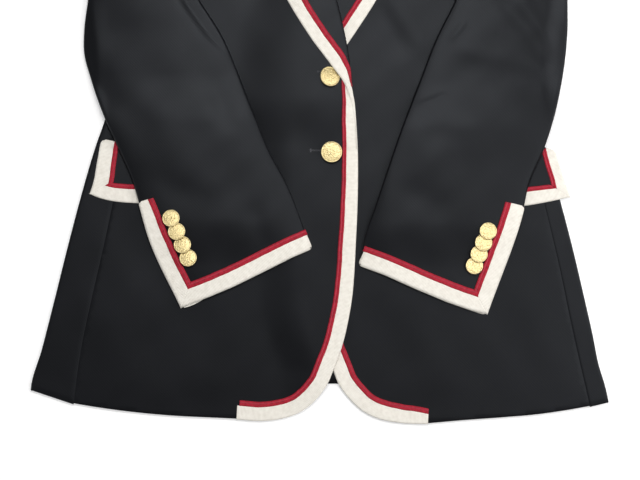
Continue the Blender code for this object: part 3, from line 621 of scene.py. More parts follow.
def close_edge(upper, lower, faces, ring, out, turns):
    """The two faces of a cloth joined along their ring by a rounded edge."""
    middle, half = (upper[ring] + lower[ring]) / 2, (upper[ring] - lower[ring]) / 2
    rims = [middle + half * math.sin(turn) + out * math.cos(turn) for turn in np.radians(turns)]
    count, around = len(upper), np.arange(len(ring))
    loops = [ring, *(2 * count + k * len(ring) + around for k in range(len(turns))), ring + count]
    made = faces + [[corner + count for corner in face[::-1]] for face in faces]
    for above, below in zip(loops[:-1], loops[1:]):
        made += np.column_stack((above, below, np.roll(below, -1), np.roll(above, -1))).tolist()
    return np.vstack((upper, lower, *rims)), made


def wall(grid, thickness, uv=None, up=True):
    """A closed wall under a grid of points, with rounded edges: its points, faces and uv."""
    rows, columns = grid.shape[:2]
    normals = grid_normals(grid)
    if up and normals[rows // 2, columns // 2, 2] < 0:
        grid = grid[:, ::-1]
        uv = None if uv is None else uv[:, ::-1]
        normals = grid_normals(grid)
    index = np.arange(rows * columns).reshape(rows, columns)
    ring = np.concatenate((index[0, :-1], index[:-1, -1], index[-1, :0:-1], index[:0:-1, 0]))
    out = np.zeros_like(grid)
    out[0] += unit(grid[0] - grid[1])
    out[-1] += unit(grid[-1] - grid[-2])
    out[:, 0] += unit(grid[:, 0] - grid[:, 1])
    out[:, -1] += unit(grid[:, -1] - grid[:, -2])
    upper, lower = grid.reshape(-1, 3), (grid - thickness * normals).reshape(-1, 3)
    points, faces = close_edge(upper, lower, grid_faces(rows, columns), ring,
                               out.reshape(-1, 3)[ring] * thickness / 2, WALL_TURNS)
    if uv is not None:
        flat = uv.reshape(-1, 2)
        uv = np.vstack((flat, flat, *[flat[ring]] * len(WALL_TURNS)))
    return points, faces, uv


def piece(name, parts, material, node):
    """A piece made of closed parts, each points in millimetres with faces and perhaps uv."""
    points, faces, uvs, start = [], [], [], 0
    for part_points, part_faces, *uv in parts:
        points.append(part_points)
        faces += [[corner + start for corner in face] for face in part_faces]
        uvs.append(uv[0] if uv and uv[0] is not None else np.zeros((len(part_points), 2)))
        start += len(part_points)
    mesh = bpy.data.meshes.new(name)
    mesh.from_pydata(((np.vstack(points) - (0, Y_SHIFT, 0)) * MM).tolist(), [], faces)
    corners = np.empty(len(mesh.loops), np.int32)
    mesh.loops.foreach_get("vertex_index", corners)
    uv = np.vstack(uvs)[corners].astype(np.float32)
    mesh.uv_layers.new(name="along").data.foreach_set("uv", uv.ravel())
    mesh.shade_smooth()
    mesh.materials.append(material)
    made = bpy.data.objects.new(name, mesh)
    bpy.context.scene.collection.objects.link(made)
    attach(made, "root")
    if node:
        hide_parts(node)
    return made


def add_cloth(name, made, size, area, held, rests_on):
    """A cloth piece. Its flat cut, given as width and length and as area in millimetres, is not used."""
    cloth = piece(f"jacket_{name}", [made], looks["cloth"], name)
    width, length = (value * MM for value in size)
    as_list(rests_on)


def grid_cut(grid):
    """Width, length and area of a grid laid flat, in millimetres."""
    across = np.linalg.norm(np.diff(grid, axis=1), axis=2).sum(axis=1).max()
    along = np.linalg.norm(np.diff(grid, axis=0), axis=2).sum(axis=0).max()
    one, two = grid[1:, :-1] - grid[:-1, 1:], grid[1:, 1:] - grid[:-1, :-1]
    area = np.linalg.norm(np.cross(one, two), axis=2).sum() / 2
    return (across, along), area


def add_folded(name, grid, probe, rests_on):
    """A folded cloth piece round its middle surface, which faces up at the probe."""
    normals = grid_normals(grid)
    up = np.sign(normals[probe][2])
    outside = grid + normals * up * CLOTH / 2
    made = wall(outside if up > 0 else outside[:, ::-1], CLOTH, up=False)
    add_cloth(name, made, *grid_cut(grid), "folded", rests_on)


def add_laid(name, outline, top, spacing, rests_on, radius=EDGE_RADIUS):
    """A laid cloth piece inside an outline, its upper face at height top(x, y)."""
    add_cloth(name, *panel(outline, top, spacing, radius), "laid", rests_on)


def shifted_loop(loop, inset):
    """A closed outline moved inwards, with its outward directions."""
    runs = unit(np.roll(loop, -1, axis=0) - loop)
    normals = np.column_stack((runs[:, 1], -runs[:, 0]))
    joined = unit(normals + np.roll(normals, 1, axis=0))
    spread = np.maximum((joined * normals).sum(axis=1), MITRE_LIMIT)
    return loop - joined * (inset / spread)[:, None], joined / spread[:, None]


def lattice(loop, spacing):
    """Inner points of an outline on a lattice, clear of its edge."""
    low, high = loop.min(axis=0), loop.max(axis=0)
    ends = np.roll(loop, -1, axis=0)
    made = []
    for count, y in enumerate(np.arange(low[1] + spacing / 2, high[1], spacing * LATTICE_ROW)):
        crossing = (loop[:, 1] > y) != (ends[:, 1] > y)
        share = (y - loop[crossing, 1]) / (ends[crossing, 1] - loop[crossing, 1])
        cuts = np.sort(loop[crossing, 0] + share * (ends[crossing, 0] - loop[crossing, 0]))
        for x0, x1 in zip(cuts[::2], cuts[1::2]):
            xs = np.arange(math.ceil(x0 / spacing), math.ceil(x1 / spacing)) * spacing
            xs = xs + (count % 2) * spacing / 2
            xs = xs[(xs > x0) & (xs < x1)]
            if len(xs):
                away = np.hypot(xs[:, None] - loop[None, :, 0], y - loop[None, :, 1]).min(axis=1)
                made.extend((x, y) for x in xs[away > LATTICE_CLEAR * spacing])
    return made


def signed_area(loop):
    after = np.roll(loop, -1, axis=0)
    return (loop[:, 0] * after[:, 1] - after[:, 0] * loop[:, 1]).sum() / 2


def panel(outline, top, spacing, radius):
    """A laid panel with rounded edges: its points and faces, its size and its area."""
    loop = np.array(outline, float)
    if signed_area(loop) < 0:
        loop = loop[::-1]
    edge, out = shifted_loop(loop, radius)
    flat = [Vector(point) for point in [*edge, *lattice(edge, spacing)]]
    edges = [(k, (k + 1) % len(edge)) for k in range(len(edge))]
    made, _, faces, origins, *_ = delaunay_2d_cdt(flat, edges, [], 1, 1e-4)
    new_index = {old: new for new, olds in enumerate(origins) for old in olds}
    ring = np.array([new_index[k] for k in range(len(edge))])
    made = np.array([tuple(point) for point in made])
    upper = np.column_stack((made, top(made[:, 0], made[:, 1])))
    reach = np.column_stack((out * radius, np.zeros(len(ring))))
    solid = close_edge(upper, upper - (0, 0, CLOTH), [list(face) for face in faces], ring, reach, PANEL_TURNS)
    return solid, loop.max(axis=0) - loop.min(axis=0), signed_area(loop)


class Edge:
    """A path that a trim follows, with its length and inward directions."""

    def __init__(self, points, side):
        self.points = np.array(points, float)
        steps = np.linalg.norm(np.diff(self.points, axis=0), axis=1)
        self.length = np.concatenate(([0.0], np.cumsum(steps)))
        self.total = self.length[-1]
        self.tangents = unit(np.gradient(self.points, self.length, axis=0))
        self.side = side

    def place(self, u, inset):
        """The point at distance u along the path and inset to its inner side."""
        held = np.clip(u, 0, self.total)
        point = np.stack([np.interp(held, self.length, self.points[:, k]) for k in (0, 1)], axis=-1)
        run = unit(np.stack([np.interp(held, self.length, self.tangents[:, k]) for k in (0, 1)], axis=-1))
        inward = self.side * np.stack((-run[..., 1], run[..., 0]), axis=-1)
        return point + run * (u - held)[..., None] + inward * inset[..., None]


def fold_over(distance, radius, lift):
    """A flat distance from a folded edge taken round the fold: the new distance and how far it drops."""
    outer = radius + lift
    turn = np.clip((radius - distance) / outer, 0, FOLD_TURN)
    return np.where(distance < radius, radius - outer * np.sin(turn), distance), outer * (1 - np.cos(turn))


def rounded_corner(u, d, radius):
    """Distances from two edges that meet squarely, drawn in so that their corner is round."""
    a, b = radius - u, radius - d
    inside = (a > 0) & (b > 0)
    pull = np.where(inside, np.maximum(a, b) / np.maximum(np.hypot(a, b), 1e-9), 1.0)
    return np.where(inside, radius - a * pull, u), np.where(inside, radius - b * pull, d)


def split_at_corners(path, sharp=math.radians(40)):
    """The path's smooth stretches and the turn at each of their ends."""
    path = np.array(path, float)
    runs = unit(np.diff(path, axis=0))
    turns = np.arccos(np.clip((runs[:-1] * runs[1:]).sum(axis=1), -1, 1))
    corners = [0] + [i + 1 for i in np.flatnonzero(turns > sharp)] + [len(path) - 1]
    angle = {i + 1: turns[i] for i in np.flatnonzero(turns > sharp)}
    return [(path[a:b + 1], angle.get(a, 0.0), angle.get(b, 0.0)) for a, b in zip(corners, corners[1:])]


def trim_grid(edge, turns, columns, step, carrier, lift, relief, round_edge, wrap, first=0.0, corner=None,
              end_corner=None):
    """Points of a trim on its carrier. columns(u) gives the flat insets across it."""
    reach = np.stack([columns(np.array([share * edge.total]))[0] for share in (0, 1)])
    count = reach.shape[1]
    rows = max(3, int(round(edge.total / step)) + 1)
    folded = fold_over(reach, round_edge, lift)[0] if round_edge else reach
    begin = folded[0] * math.tan(turns[0] / 2) if wrap is None else np.full(count, wrap)
    begin = begin + first
    end = edge.total - folded[1] * math.tan(turns[1] / 2)
    u = begin + (end - begin) * np.linspace(0, 1, rows)[:, None]
    d = np.stack([columns(np.clip(u[:, k], 0, edge.total))[:, k] for k in range(count)], axis=1)
    place_d, drop = fold_over(d, round_edge, lift) if round_edge else (d, 0 * d)
    place_u, calm_u = u, u
    if wrap is not None:
        place_u, more = fold_over(u, FOLD_RADIUS, lift)
        calm_u = np.maximum(u, FOLD_RADIUS)
        drop = drop + more
        corner = WRAP_CORNER
    if corner is not None:
        place_u, place_d = rounded_corner(place_u, place_d, corner)
    if end_corner is not None:
        from_end, place_d = rounded_corner(end - place_u, place_d, end_corner)
        place_u = end - from_end
    calm = edge.place(calm_u, np.maximum(d, round_edge + CALM_INSET))
    z = carrier.heights(calm) + lift - drop + relief(u, d)
    return np.dstack((edge.place(place_u, place_d), z)), np.dstack((u, d)) * MM


def ribbon_and_braid(name, widths, path, side, carrier, round_edge=EDGE_RADIUS, wrap=None, extra=(),
                     braid_start=0.0, corner=None, end_corner=None):
    """The ivory ribbon over an edge and the red braid along its inner side."""
    ribbon_parts, braid_parts = [], []
    stretches = split_at_corners(path)
    total = sum(Edge(stretch[0], side).total for stretch in stretches)
    done = 0.0
    for number, (points, *turns) in enumerate(stretches):
        edge = Edge(points, side)
        start = done
        seed = start + WOBBLE_SHIFT * len(name)

        def ribbon_width(u):
            wobble = sum(high * np.sin(u * rate + (k + 1) * seed) for k, (high, rate) in enumerate(WOBBLE))
            return table_at(RIBBON_WIDTH[widths], (start + u) / total) + wobble

        def braid_width(u):
            return table_at(BRAID_WIDTH[widths], (start + u) / total)

        def ribbon_columns(u):
            rolled = round_edge - (round_edge + TRIM_GAP + RIBBON) * RIBBON_ROLL
            flat = round_edge + (ribbon_width(u)[:, None] - round_edge) * RIBBON_FACE
            return np.hstack((np.repeat(rolled[None, :], len(u), axis=0), flat))

        def braid_columns(u):
            return (ribbon_width(u) + BRAID_CLEAR)[:, None] + braid_width(u)[:, None] * BRAID_FACE

        def pucker(u, d):
            along, across, over = PUCKER_RATES
            return PUCKER * np.sin(u * along + across * d) * np.sin(u * over + seed)

        def strands(u, d):
            across = (d - (ribbon_width(u) + BRAID_CLEAR)) / braid_width(u) * 2 - 1
            plait = np.sin((u - np.abs(across) * PLAIT_SLANT) * 2 * math.pi / PLAIT)
            body = np.sqrt(np.maximum(1 - (np.abs(np.abs(across) - 0.5) * 2) ** 2, 0))
            return -STRAND_SINK + STRAND_HEIGHT * body + PLAIT_DEPTH * plait * body

        first, last = number == 0, number == len(stretches) - 1
        here = wrap if first else None
        grid, uv = trim_grid(edge, turns, ribbon_columns, RIBBON_STEP, carrier, TRIM_GAP + RIBBON, pucker,
                             round_edge, here, 0.0, corner if first else None, end_corner if last else None)
        ribbon_parts.append(wall(grid, RIBBON, uv))
        grid, uv = trim_grid(edge, turns, braid_columns, BRAID_STEP, carrier, TRIM_GAP + BRAID, strands,
                             0.0, here, braid_start if first else 0.0)
        uv[..., 1] = BRAID_FLAT * BRAID_FACE * MM
        braid_parts.append(wall(grid, BRAID_WALL, uv))
        done += edge.total
    piece(f"trim_ribbon_{name}", [*ribbon_parts, *extra], looks["ribbon"], f"ribbon_{name}")
    piece(f"trim_braid_{name}", braid_parts, looks["braid"], f"braid_{name}")


def shader(name, roughness, metallic=0.0, sheen=0.0, sheen_roughness=0.5, sheen_tint=(1, 1, 1),
           specular=0.5):
    """A new material with its node tree and its Principled shader."""
    made = bpy.data.materials.new(name)
    made.use_nodes = True
    bsdf = made.node_tree.nodes["Principled BSDF"]
    for socket, value in (("Roughness", roughness), ("Metallic", metallic), ("Sheen Weight", sheen),
                          ("Sheen Roughness", sheen_roughness), ("Sheen Tint", (*sheen_tint, 1)),
                          ("Specular IOR Level", specular)):
        bsdf.inputs[socket].default_value = value
    return made, made.node_tree, bsdf


def object_place(tree):
    return tree.nodes.new("ShaderNodeTexCoord").outputs["Object"]


def along_trim(tree):
    """The place along a trim and across it, in metres."""
    node = tree.nodes.new("ShaderNodeUVMap")
    node.uv_map = "along"
    return node.outputs["UV"]


def blend(tree, source, share, added):
    """A share of one value plus another."""
    node = tree.nodes.new("ShaderNodeMath")
    node.operation = "MULTIPLY_ADD"
    node.inputs[1].default_value = share
    tree.links.new(source, node.inputs[0])
    tree.links.new(added, node.inputs[2])
    return node.outputs[0]


def colour_ramp(tree, bsdf, source, low, high, start=0.3, end=0.7):
    """Colours the shader from low to high by a value between start and end."""
    ramp_node = tree.nodes.new("ShaderNodeValToRGB")
    for stop, position, colour in zip(ramp_node.color_ramp.elements, (start, end), (low, high)):
        stop.position = position
        stop.color = (*colour, 1)
    tree.links.new(source, ramp_node.inputs["Fac"])
    tree.links.new(ramp_node.outputs["Color"], bsdf.inputs["Base Color"])
    return ramp_node.outputs["Color"]


def noise_at(tree, scale, coordinates, detail=3.0):
    made = tree.nodes.new("ShaderNodeTexNoise")
    made.inputs["Scale"].default_value = scale
    made.inputs["Detail"].default_value = detail
    tree.links.new(coordinates, made.inputs["Vector"])
    return made.outputs["Fac"]


def wave_at(tree, coordinates, direction, scale, distortion):
    made = tree.nodes.new("ShaderNodeTexWave")
    made.bands_direction = direction
    made.inputs["Scale"].default_value = scale
    made.inputs["Distortion"].default_value = distortion
    tree.links.new(coordinates, made.inputs["Vector"])
    return made.outputs["Fac"]


def bump(tree, bsdf, heights, strength):
    """Chained bumps, each a height with its distance in metres."""
    last = None
    for height, distance in heights:
        made = tree.nodes.new("ShaderNodeBump")
        made.inputs["Strength"].default_value = strength
        made.inputs["Distance"].default_value = distance
        tree.links.new(height, made.inputs["Height"])
        if last is not None:
            tree.links.new(last, made.inputs["Normal"])
        last = made.outputs["Normal"]
    tree.links.new(last, bsdf.inputs["Normal"])


def cloth_material():
    """Fine wool twill in near-black navy: diagonal ribs, a slight fleck and a soft nap."""
    made, tree, bsdf = shader("navy_twill", 0.43, sheen=0.04, sheen_roughness=0.35,
                              sheen_tint=(0.72, 0.76, 0.9), specular=0.17)
    bsdf.inputs["Specular Tint"].default_value = (0.86, 0.92, 1.0, 1)
    place = object_place(tree)
    twill = wave_at(tree, place, "DIAGONAL", 250.0, 0.6)
    fleck = noise_at(tree, 1900.0, place, 2.0)
    mixed = blend(tree, fleck, 0.35, noise_at(tree, 26.0, place))
    colour_ramp(tree, bsdf, mixed, (0.0016, 0.0016, 0.0021), (0.0036, 0.0036, 0.0047), 0.4, 0.95)
    bump(tree, bsdf, ((twill, 0.00004), (fleck, 0.00009)), 0.5)
    return made


def ribbon_material():
    """Ivory grosgrain: close ribs across the ribbon, with painted shade between the ribs, softly uneven."""
    made, tree, bsdf = shader("ivory_grosgrain", 0.7, sheen=0.25, sheen_roughness=0.4,
                              sheen_tint=(1, 0.96, 0.88), specular=0.3)
    along = along_trim(tree)
    ribs = wave_at(tree, along, "X", 260.0, 0.4)
    threads = wave_at(tree, along, "Y", 700.0, 0.3)
    # Painted shade: the ivory darkens between the ribs with the rib wave, and its tone also varies at random
    # with the noise.
    shade = blend(tree, ribs, 0.4, noise_at(tree, 240.0, object_place(tree)))
    colour_ramp(tree, bsdf, shade, (0.66, 0.625, 0.555), (0.82, 0.79, 0.72), 0.3, 0.95)
    bump(tree, bsdf, ((ribs, 0.00014), (threads, 0.00005)), 0.7)
    return made


def braid_material():
    """Red braid: red strands with painted shade between the plaits, and a painted pink highlight line where
    they meet.
    """
    made, tree, bsdf = shader("red_braid", 0.62, sheen=0.12, sheen_roughness=0.4,
                              sheen_tint=(1, 0.4, 0.42), specular=0.2)
    along = along_trim(tree)
    strands = wave_at(tree, along, "DIAGONAL", 420.0, 0.5)
    # Painted shade: the red darkens between the plaits with the strand wave, and its tone also varies at
    # random with the noise.
    shade = blend(tree, strands, 0.4, noise_at(tree, 400.0, object_place(tree)))
    dye_and_painted_shade = colour_ramp(tree, bsdf, shade, (0.16, 0.003, 0.010), (0.43, 0.012, 0.032), 0.3, 0.95)
    place = tree.nodes.new("ShaderNodeSeparateXYZ")
    tree.links.new(along, place.inputs[0])
    across = tree.nodes.new("ShaderNodeMath")
    across.operation = "DIVIDE"
    across.inputs[1].default_value = BRAID_FLAT * MM
    tree.links.new(place.outputs["Y"], across.inputs[0])
    # Painted highlight: a pale pink line along the braid, a little past its middle, mixed into the red.
    line = tree.nodes.new("ShaderNodeValToRGB")
    stops = line.color_ramp.elements
    for stop, position in zip(stops, (0.5, 0.82)):
        stop.position = position
        stop.color = (0, 0, 0, 1)
    stops.new(0.64).color = (0.1, 0.1, 0.1, 1)
    tree.links.new(across.outputs[0], line.inputs["Fac"])
    mix = tree.nodes.new("ShaderNodeMix")
    mix.data_type = "RGBA"
    tree.links.new(line.outputs["Color"], mix.inputs["Factor"])
    tree.links.new(dye_and_painted_shade, mix.inputs[6])
    # Colour of the painted highlight line
    mix.inputs[7].default_value = (0.86, 0.30, 0.38, 1)
    tree.links.new(mix.outputs[2], bsdf.inputs["Base Color"])
    bump(tree, bsdf, ((strands, 0.00012),), 0.7)
    return made


def metal_material():
    """Pale gilt metal, coloured brighter where it stands up and darker where it dips and in the grain."""
    made, tree, bsdf = shader("gilt_metal", 0.45, metallic=1.0)
    grain = noise_at(tree, 900.0, object_place(tree))
    pointed = tree.nodes.new("ShaderNodeNewGeometry").outputs["Pointiness"]
    # Colour by the grain and by the surface's pointiness: lighter on raised parts, darker in hollows.
    grain_and_pointiness = blend(tree, grain, 0.5, pointed)
    colour_ramp(tree, bsdf, grain_and_pointiness, (0.40, 0.30, 0.12), (0.80, 0.68, 0.38), 0.62, 0.82)
    rough = tree.nodes.new("ShaderNodeMapRange")
    rough.inputs["To Min"].default_value = 0.42
    rough.inputs["To Max"].default_value = 0.6
    tree.links.new(grain, rough.inputs["Value"])
    tree.links.new(rough.outputs["Result"], bsdf.inputs["Roughness"])
    bump(tree, bsdf, ((grain, 0.0004),), 0.8)
    return made


def thread_material():
    made, tree, bsdf = shader("thread", 0.7, sheen=0.3, specular=0.3)
    soft = noise_at(tree, 1500.0, object_place(tree), 2.0)
    colour_ramp(tree, bsdf, soft, (0.035, 0.035, 0.042), (0.085, 0.085, 0.095))
    bump(tree, bsdf, ((soft, 0.0001),), 0.6)
    return made


def side_seam(side):
    """Points of the seam between the front and the side panel."""
    seam = x_at(SIDE_SEAM[side])
    hem = y_at(HEM["right"] if side == "right" else HEM["left"][::-1])
    low = float(hem(seam(SEAM_FOOT)))
    heights = low + (SIDE_TOP - low) * np.linspace(0, 1, SIDE_ROWS)
    return np.column_stack((seam(heights), heights))


def matched(roll, edge, rows):
    """Matched points of the roll line and a lapel's free edge, the last just short of the gorge."""
    roll, edge = through(roll, rows), through(edge, rows)
    roll[-1, 1] -= SEAM_DROP
    edge[-1, 1] -= SEAM_DROP
    return roll, edge


def collar_sections():
    """The collar's right half: each section runs from its seam over its fold to its free edge."""
    sections = []
    for row in COLLAR:
        seam, stand, fold, landing, edge = np.array(row[:15]).reshape(5, 3)
        radius = row[15]
        up_stand, up_fall = unit(fold - stand), unit(fold - landing)
        outwards = unit(up_stand + up_fall)
        apart = unit(up_fall - np.dot(up_fall, outwards) * outwards)
        if not sections:
            outwards = unit(fold * (1, 1, 0) - seam * (1, 1, 0))
            apart = np.array((0, 0, -1.0))
        centre = fold - radius * outwards
        arc = [centre - radius * (math.cos(turn) * -apart - math.sin(turn) * outwards)
               for turn in np.linspace(math.pi, 0, COLLAR_ARC)]
        if np.linalg.norm(arc[0] - stand) > np.linalg.norm(arc[-1] - stand):
            arc = arc[::-1]
        fall = [arc[-1] * (1 - share) + landing * share for share in (0.2, 0.4, 0.6, 0.8, 1.0)]
        fall += [landing * (1 - share) + edge * share for share in (0.25, 0.5, 0.75, 1.0)]
        sections.append([seam, (seam + stand) / 2, stand, *arc, *fall])
    return np.array(sections)


def through_rows(points, divisions):
    """A smooth curve through points with the same number of steps in each span."""
    runs = np.gradient(points, axis=0)
    made = [hermite(step / divisions, points[k], runs[k], points[k + 1], runs[k + 1])
            for k in range(len(points) - 1) for step in range(divisions)]
    return np.array([*made, points[-1]])


def add_collar():
    """The collar round the neck: its carrier for the trim and the points of its neck seam."""
    right = collar_sections()
    left = right.copy()
    left[..., :2] = mirrored(right[..., :2])
    whole = np.concatenate((right, left[-2::-1]))
    grid = np.stack([through_rows(whole[:, k], COLLAR_STEPS) for k in range(whole.shape[1])], axis=1)
    grid[..., 2] = np.maximum(grid[..., 2], (CLOTH + GAP) / 2)
    add_folded("collar", grid, (4, -3), ["jacket_front_right", "jacket_front_left"])
    return Carrier(grid[:, FALL_START:] + (0, 0, CLOTH / 2)), grid[:, 0, :2]


def front_outline(side, roll, edge, collar_seam):
    """Outline of a front: side seam, hem, front edge, roll line, neck, shoulder and armhole."""
    sign = SIGN[side]
    seam = side_seam(side) - np.array((sign * GAP, 0))
    hem = [point for point in through(HEM[side], 4.0) if abs(point[0]) < abs(seam[0, 0]) - 2]
    front_edge = through(EDGE[side], 3.0)
    turned = (roll - unit(roll - edge) * (ROLL_TURN + GAP))[::2]
    neck = collar_seam + np.array((sign * SEAM_DROP, 0))
    armhole = np.array(FRONT_ARMHOLE, float) * (-sign, 1)
    armhole[0] = seam[-1]
    armhole = through(armhole, 5.0)
    return np.array([seam[0], *hem, *front_edge[1:-1], *turned, *neck, *armhole[::-1], *seam[-2:0:-1]])


def add_lapel(side, roll, edge, front):
    """A lapel that folds over at the roll line and turns under it to meet the front."""
    across = unit(roll - edge)
    edge = edge + across * LAPEL_INSET
    width = np.linalg.norm(roll - edge, axis=1)
    level = front.heights(roll - across * ROLL_TURN) + GAP / 2
    radius = GAP / 2 + CLOTH / 2
    rows = []
    for share in np.linspace(0, 1, LAPEL_COLUMNS):
        xy = edge + across * (share * (width - radius))[:, None]
        sag = LAPEL_SWELL * math.sin(math.pi * share) * ramp(width, 0, LAPEL_SWELL_WIDTH)
        if side == "right":
            away = np.linalg.norm(xy - FRONT_BUTTONS[0], axis=1)
            sag = sag + BUTTON_SWELL * np.exp(-((away / BUTTON_SWELL_REACH) ** 2))
        rows.append(np.column_stack((xy, front.heights(xy) + GAP + CLOTH / 2 + sag)))
    for turn in np.radians(range(75, -91, -15)):
        xy = roll + across * radius * (math.cos(turn) - 1)
        rows.append(np.column_stack((xy, level + radius * math.sin(turn))))
    for share in (0.5, 1.0):
        xy = roll - across * (radius + (ROLL_TURN - radius) * share)
        rows.append(np.column_stack((xy, level - radius)))
    grid = np.stack(rows, axis=1)
    add_folded(f"lapel_{side}", grid, (len(grid) // 2, 5), [f"jacket_front_{side}"])
    return Carrier(grid[:, :LAPEL_COLUMNS] + (0, 0, CLOTH / 2))


def add_front(side, collar_seam, collar):
    """A front with its lapel and the trim that runs along both."""
    right = side == "right"
    inwards = -SIGN[side]
    roll, edge = matched(ROLL[side], LAPEL_EDGE[side], 120)
    rests_on = ["back_right", "back_left", *(["front_left"] if right else [])]
    add_laid(f"front_{side}", front_outline(side, roll, edge, collar_seam),
             lambda x, y: front_top(x, y, side), FRONT_SPACING, rests_on, FRONT_EDGE_RADIUS)
    carrier = Plain(lambda x, y: front_top(x, y, side))
    path = EDGE[side] + (BREAK_RIBBON if right else [])
    ribbon_and_braid(f"front_{side}", f"front_{side}", through(path, RIBBON_STEP), inwards, carrier,
                     braid_start=HEM_BRAID_START if right else 0.0)
    lapel = add_lapel(side, roll, edge, carrier)
    lapel = RunOut(lapel, carrier) if right else lapel
    free = through(LAPEL_RUN_OUT + LAPEL_EDGE[side][2:] if right else LAPEL_EDGE[side], RIBBON_STEP)
    notch = np.array(NOTCH) - (0, 3 * GAP)
    leaf = np.array([NOTCH, LEAF, *[row[12:14] for row in COLLAR[1:4]]], float)
    if not right:
        notch, leaf = mirrored(notch), mirrored(leaf)
    gorge = through([free[-1] - (0, SEAM_DROP), notch], RIBBON_STEP)
    ribbon_and_braid(f"lapel_{side}", f"lapel_{side}", np.vstack((free[1:-1], gorge)), -inwards, lapel,
                     braid_start=BRAID_START if right else 0.0)
    leaf = np.vstack((through(leaf[:2], RIBBON_STEP)[:-1], through(leaf[1:], RIBBON_STEP)))
    ribbon_and_braid(f"collar_{side}", "collar", leaf, -inwards, collar)


def add_side(side):
    """The side panel, folded round the body's side."""
    sign = SIGN[side]
    seam = side_seam(side)
    hem_corner = HEM[side][0]
    fold = FRONT_TOP / 2
    radius = fold - CLOTH / 2
    share = np.linspace(0, 1, SIDE_ROWS)
    low = float(y_at(BACK_HEM)(sign * (abs(hem_corner[0]) - BACK_TURN)))
    back_y = low + (SIDE_TOP - low) * share
    back_x = half_width[side](back_y) - BACK_TURN
    y = hem_corner[1] + (SIDE_TOP - hem_corner[1]) * share
    wide = half_width[side](y) - CLOTH / 2 - radius
    columns = [np.column_stack((sign * (back_x + (wide - back_x) * step), back_y + (y - back_y) * step,
                                np.full(SIDE_ROWS, CLOTH / 2))) for step in (0, 0.5)]
    for angle in np.radians(np.linspace(-90, 90, 13)):
        columns.append(np.column_stack((sign * (wide + radius * math.cos(angle)), y,
                                        np.full(SIDE_ROWS, fold + radius * math.sin(angle)))))
    for step in np.linspace(0, 1, 9)[1:]:
        x = sign * wide * (1 - step) + seam[:, 0] * step
        lower = y * (1 - step) + seam[:, 1] * step
        columns.append(np.column_stack((x, lower, front_top(x, lower, side) - CLOTH / 2)))
    add_folded(f"side_{side}", np.stack(columns, axis=1), (SIDE_ROWS // 2, -3), ["floor"])


def add_back(side, neck):
    """One half of the back, from its side panel to the centre seam."""
    sign = SIGN[side]
    hem = y_at(BACK_HEM)
    low = float(hem(sign * (half_width["right"](BACK_HEM[0][1]) - BACK_TURN)))
    ys = low + (SIDE_TOP - low) * np.linspace(0, 1, 60)
    seam = [(sign * (float(half_width[side](y)) - BACK_TURN - GAP), y) for y in ys]
    hem_line = [(x, float(hem(x))) for x in np.linspace(sign * BACK_HEM_END, sign * SEAM_CLEAR, 50)]
    middle = [(sign * SEAM_CLEAR, y) for y in np.arange(*CENTRE_SEAM)]
    neck = [(sign * max(abs(x), SEAM_CLEAR), y - SEAM_DROP) for x, y in neck]
    armhole = through(BACK_ARMHOLE, 6.0) * (-sign, 1)
    outline = [seam[0], *hem_line, *middle, *neck, *armhole[::-1], *seam[-2:0:-1]]
    add_laid(f"back_{side}", outline, lambda x, y: CLOTH + 0 * x, BACK_SPACING, ["floor"],
             CENTRE_EDGE_RADIUS)


def sleeve_outline(side):
    """Matched inner and outer points of a sleeve, from its cuff to its armhole."""
    table = SLEEVES[side]
    lower = [through(table[key], 92) for key in ("inner", "outer")]
    upper = [through(table[key], 60) for key in ("upper_inner", "upper_outer")]
    return [np.vstack((low, high[1:])) for low, high in zip(lower, upper)]


def cuff_bow(side, share):
    """How far the cuff's edge bows at a share of the way across it."""
    return table_at(CUFF_BOW[side], np.clip(share, 0, 1))


